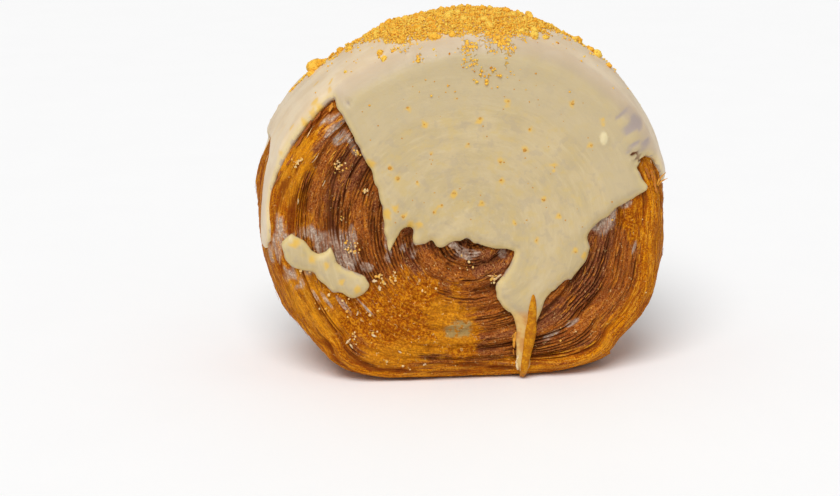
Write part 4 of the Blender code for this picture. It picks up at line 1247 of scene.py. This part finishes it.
def icing_finish(name):
    s = Shader(
        name, Subsurface_Weight=0.15, Subsurface_Scale=0.0012, Specular_IOR_Level=0.3,
        Subsurface_Radius=(1.0, 0.8, 0.5),
    )
    [flow] = s.facts("flow", output="Vector")
    powder, tail, thin, rim, near_edge = s.facts("powder", "tail", "thin", "rim", "near_edge")
    stain, fold_shade, slit, drop, outer = s.facts("stain", "fold_shade", "slit", "drop", "outer")
    broad, cloudy, arcs = s.noise(0.009, 3), s.noise(0.0030, 3), s.noise(1.1, 3, flow, 0.6)
    tiny, grit = s.noise(0.0006), s.noise(0.0007, 3, None, 0.7)
    face = s.coats(
        (0.520, 0.405, 0.215),
        (broad, 0.40, 0.60, 1.0, (0.555, 0.435, 0.242)),
        (arcs, 0.50, 0.68, 0.55, (0.590, 0.475, 0.275)),
        (arcs, 0.46, 0.32, 0.45, (0.470, 0.372, 0.220)),
        (cloudy, 0.53, 0.66, 0.5, (0.575, 0.425, 0.170)),
        (cloudy, 0.46, 0.36, 0.4, (0.430, 0.345, 0.235)),
        (outer, 0.1, 0.9, 0.6, (0.52, 0.418, 0.250)),
    )
    # The icing over the rim, lighter than on the face: partly a paler icing, partly painted light where the
    # rim faces up into the light.
    over = s.coats(
        (0.690, 0.535, 0.350),
        (broad, 0.4, 0.62, 1.0, (0.750, 0.605, 0.415)),
        (arcs, 0.54, 0.7, 0.4, (0.720, 0.515, 0.240)),
    )
    amber = s.coats((0.56, 0.21, 0.010), (cloudy, 0.40, 0.60, 1.0, (0.66, 0.40, 0.11)))
    crumb = s.coats((0.72, 0.28, 0.016), (grit, 0.40, 0.60, 1.0, (0.94, 0.52, 0.055)))
    cover = s.times(s.ramp(s.plus(powder, s.swing(grit, 2.4)), 0.74, 0.90), s.ramp(powder, 0.35, 0.6))
    colour = s.coats(
        s.mix(rim, face, over),
        # painted shade along the fold where the face turns to the rim
        (fold_shade, 0.1, 0.9, 0.35, (0.47, 0.36, 0.29)),
        (near_edge, 0.40, 0.95, 0.6, (0.72, 0.56, 0.24)),
        (near_edge, 0.80, 1.0, 0.7, (0.44, 0.34, 0.27), s.ramp(cloudy, 0.47, 0.42)),
        (stain, 0.05, 0.9, 0.75, (0.74, 0.44, 0.045)),
        (thin, 0.05, 1.0, 0.85, (0.37, 0.30, 0.285)),
        (drop, 0.1, 0.6, 0.8, (0.74, 0.63, 0.37)),
        (tail, 0.25, 0.95, 0.75, amber),
        (slit, 0.25, 0.7, 1.0, (0.17, 0.052, 0.014)),
    )
    height = s.plus(s.times(tiny, 0.2), s.times(s.times(grit, cover), 2.2), s.times(arcs, 0.5))
    return s.set(
        Base_Color=s.mix(cover, colour, crumb), Roughness=s.ramp(cover, 0.0, 1.0, 0.42, 0.9),
        Normal=s.bump(height, 0.00022),
    )


def crumb_finish():
    s = Shader("biscuit", Subsurface_Weight=0.08, Subsurface_Scale=0.0006, Specular_IOR_Level=0.15)
    [tone] = s.facts("tone")
    grit = s.noise(0.0005, 3, None, 0.65)
    colour = s.coats(
        s.mix(tone, (0.94, 0.45, 0.034), (1.0, 0.70, 0.12)),
        (tone, 0.93, 0.99, 1.0, (0.60, 0.23, 0.018)),
        (grit, 0.50, 0.36, 0.7, (0.60, 0.23, 0.012)),
    )
    return s.set(Base_Color=colour, Roughness=s.ramp(grit, 0.3, 0.7, 0.75, 0.9), Normal=s.bump(grit, 0.0004))


def speck_finish():
    s = Shader("caught_crumbs", Specular_IOR_Level=0.3)
    [tone] = s.facts("tone")
    grit = s.noise(0.0004)
    colour = s.mix(tone, (0.56, 0.24, 0.025), (0.62, 0.36, 0.08))
    colour = s.coats(colour, (grit, 0.55, 0.42, 0.5, (0.40, 0.17, 0.02)))
    return s.set(Base_Color=colour, Roughness=s.ramp(grit, 0.3, 0.7, 0.45, 0.6))


def flake_finish():
    s = Shader("flakes", Specular_IOR_Level=0.2, Subsurface_Weight=0.1, Subsurface_Scale=0.0005)
    [tone] = s.facts("tone")
    grit = s.noise(0.0006)
    colour = s.coats(
        (0.26, 0.060, 0.009),
        (tone, 0.1, 0.45, 1.0, (0.56, 0.18, 0.014)),
        (tone, 0.45, 0.85, 1.0, (0.80, 0.36, 0.035)),
        (tone, 0.87, 0.93, 1.0, (0.80, 0.60, 0.34)),
        (grit, 0.6, 0.4, 0.4, (0.30, 0.09, 0.012)),
    )
    return s.set(Base_Color=colour, Roughness=s.ramp(grit, 0.3, 0.7, 0.45, 0.65))


def bit_finish():
    s = Shader("pale_bits", Specular_IOR_Level=0.3, Subsurface_Weight=0.15, Subsurface_Scale=0.0006)
    [tone] = s.facts("tone")
    grit = s.noise(0.0004)
    colour = s.coats(
        (0.80, 0.54, 0.24),
        (tone, 0.3, 0.6, 1.0, (0.78, 0.40, 0.060)),
        (grit, 0.5, 0.38, 0.5, (0.42, 0.20, 0.05)),
    )
    return s.set(Base_Color=colour, Roughness=s.ramp(grit, 0.3, 0.7, 0.5, 0.7))


def syrup_finish():
    s = Shader(
        "syrup", Specular_IOR_Level=0.12, Subsurface_Weight=0.05, Subsurface_Scale=0.0015,
        Subsurface_Radius=(1.0, 0.5, 0.15),
    )
    cloudy, grit = s.noise(0.0016, 3), s.noise(0.0005)
    colour = s.coats(
        (0.45, 0.15, 0.002),
        (cloudy, 0.38, 0.62, 1.0, (0.63, 0.26, 0.004)),
        (cloudy, 0.58, 0.70, 0.5, (0.72, 0.36, 0.04)),
        (grit, 0.50, 0.38, 0.5, (0.34, 0.10, 0.002)),
    )
    rough = s.ramp(cloudy, 0.3, 0.7, 0.3, 0.45)
    return s.set(Base_Color=colour, Roughness=rough, Normal=s.bump(grit, 0.0004))


def floor_finish():
    s = Shader("floor", Roughness=0.6, Specular_IOR_Level=0.2)
    return s.set(Base_Color=s.mix(s.noise(0.03), (0.96, 0.96, 0.96), (0.98, 0.98, 0.98)))


# --- Stage ---

def stage():
    mesh = bpy.data.meshes.new("floor")
    corners = [(-1, -1), (1, -1), (1, 1), (-1, 1)]
    mesh.from_pydata([(x * FLOOR_HALF, y * FLOOR_HALF, 0) for x, y in corners], [], [(0, 1, 2, 3)])
    mesh.materials.append(floor_finish())
    floor = link(bpy.data.objects.new("floor", mesh))
    floor.location.z = -FLOOR_GAP

    world = bpy.data.worlds.new("studio")
    bpy.context.scene.world = world
    world.use_nodes = True
    background = world.node_tree.nodes["Background"]
    background.inputs["Color"].default_value = (1.0, 1.0, 1.0, 1)
    background.inputs["Strength"].default_value = WORLD_LIGHT
    lamp = bpy.data.lights.new("softbox", "SUN")
    lamp.energy = LAMP_LIGHT
    lamp.angle = LAMP_SPREAD
    holder = link(bpy.data.objects.new("softbox", lamp))
    holder.rotation_euler = (-Vector(LAMP_FROM)).to_track_quat("-Z", "Y").to_euler()


def camera():
    lens = bpy.data.cameras.new("camera")
    lens.sensor_width = SENSOR
    lens.lens = FOCAL_PIXELS / FRAME_WIDTH * SENSOR
    lens.shift_x = -SHIFT_PIXELS[0] / FRAME_WIDTH
    lens.shift_y = SHIFT_PIXELS[1] / FRAME_WIDTH
    lens.clip_start = NEAREST
    holder = link(bpy.data.objects.new("camera", lens))
    flat = math.cos(VIEW_ELEVATION)
    back = Vector((math.sin(VIEW_AZIMUTH) * flat, -math.cos(VIEW_AZIMUTH) * flat, math.sin(VIEW_ELEVATION)))
    holder.location = VIEW_TARGET + back * VIEW_DISTANCE
    holder.rotation_euler = (-back).to_track_quat("-Z", "Y").to_euler()
    bpy.context.scene.camera = holder


def main():
    bpy.context.scene.view_settings.view_transform = "Standard"
    camera()
    stage()
    crust(crust_finish())
    flakes(flake_finish())
    bits(bit_finish())
    syrup(syrup_finish())
    poured_icing(icing_finish("poured_icing"))
    smeared_icing(icing_finish("smeared_icing"))
    biscuit = crumb_finish()
    big_crumbs(biscuit)
    fine_crumbs(biscuit)
    specks(speck_finish())


main()
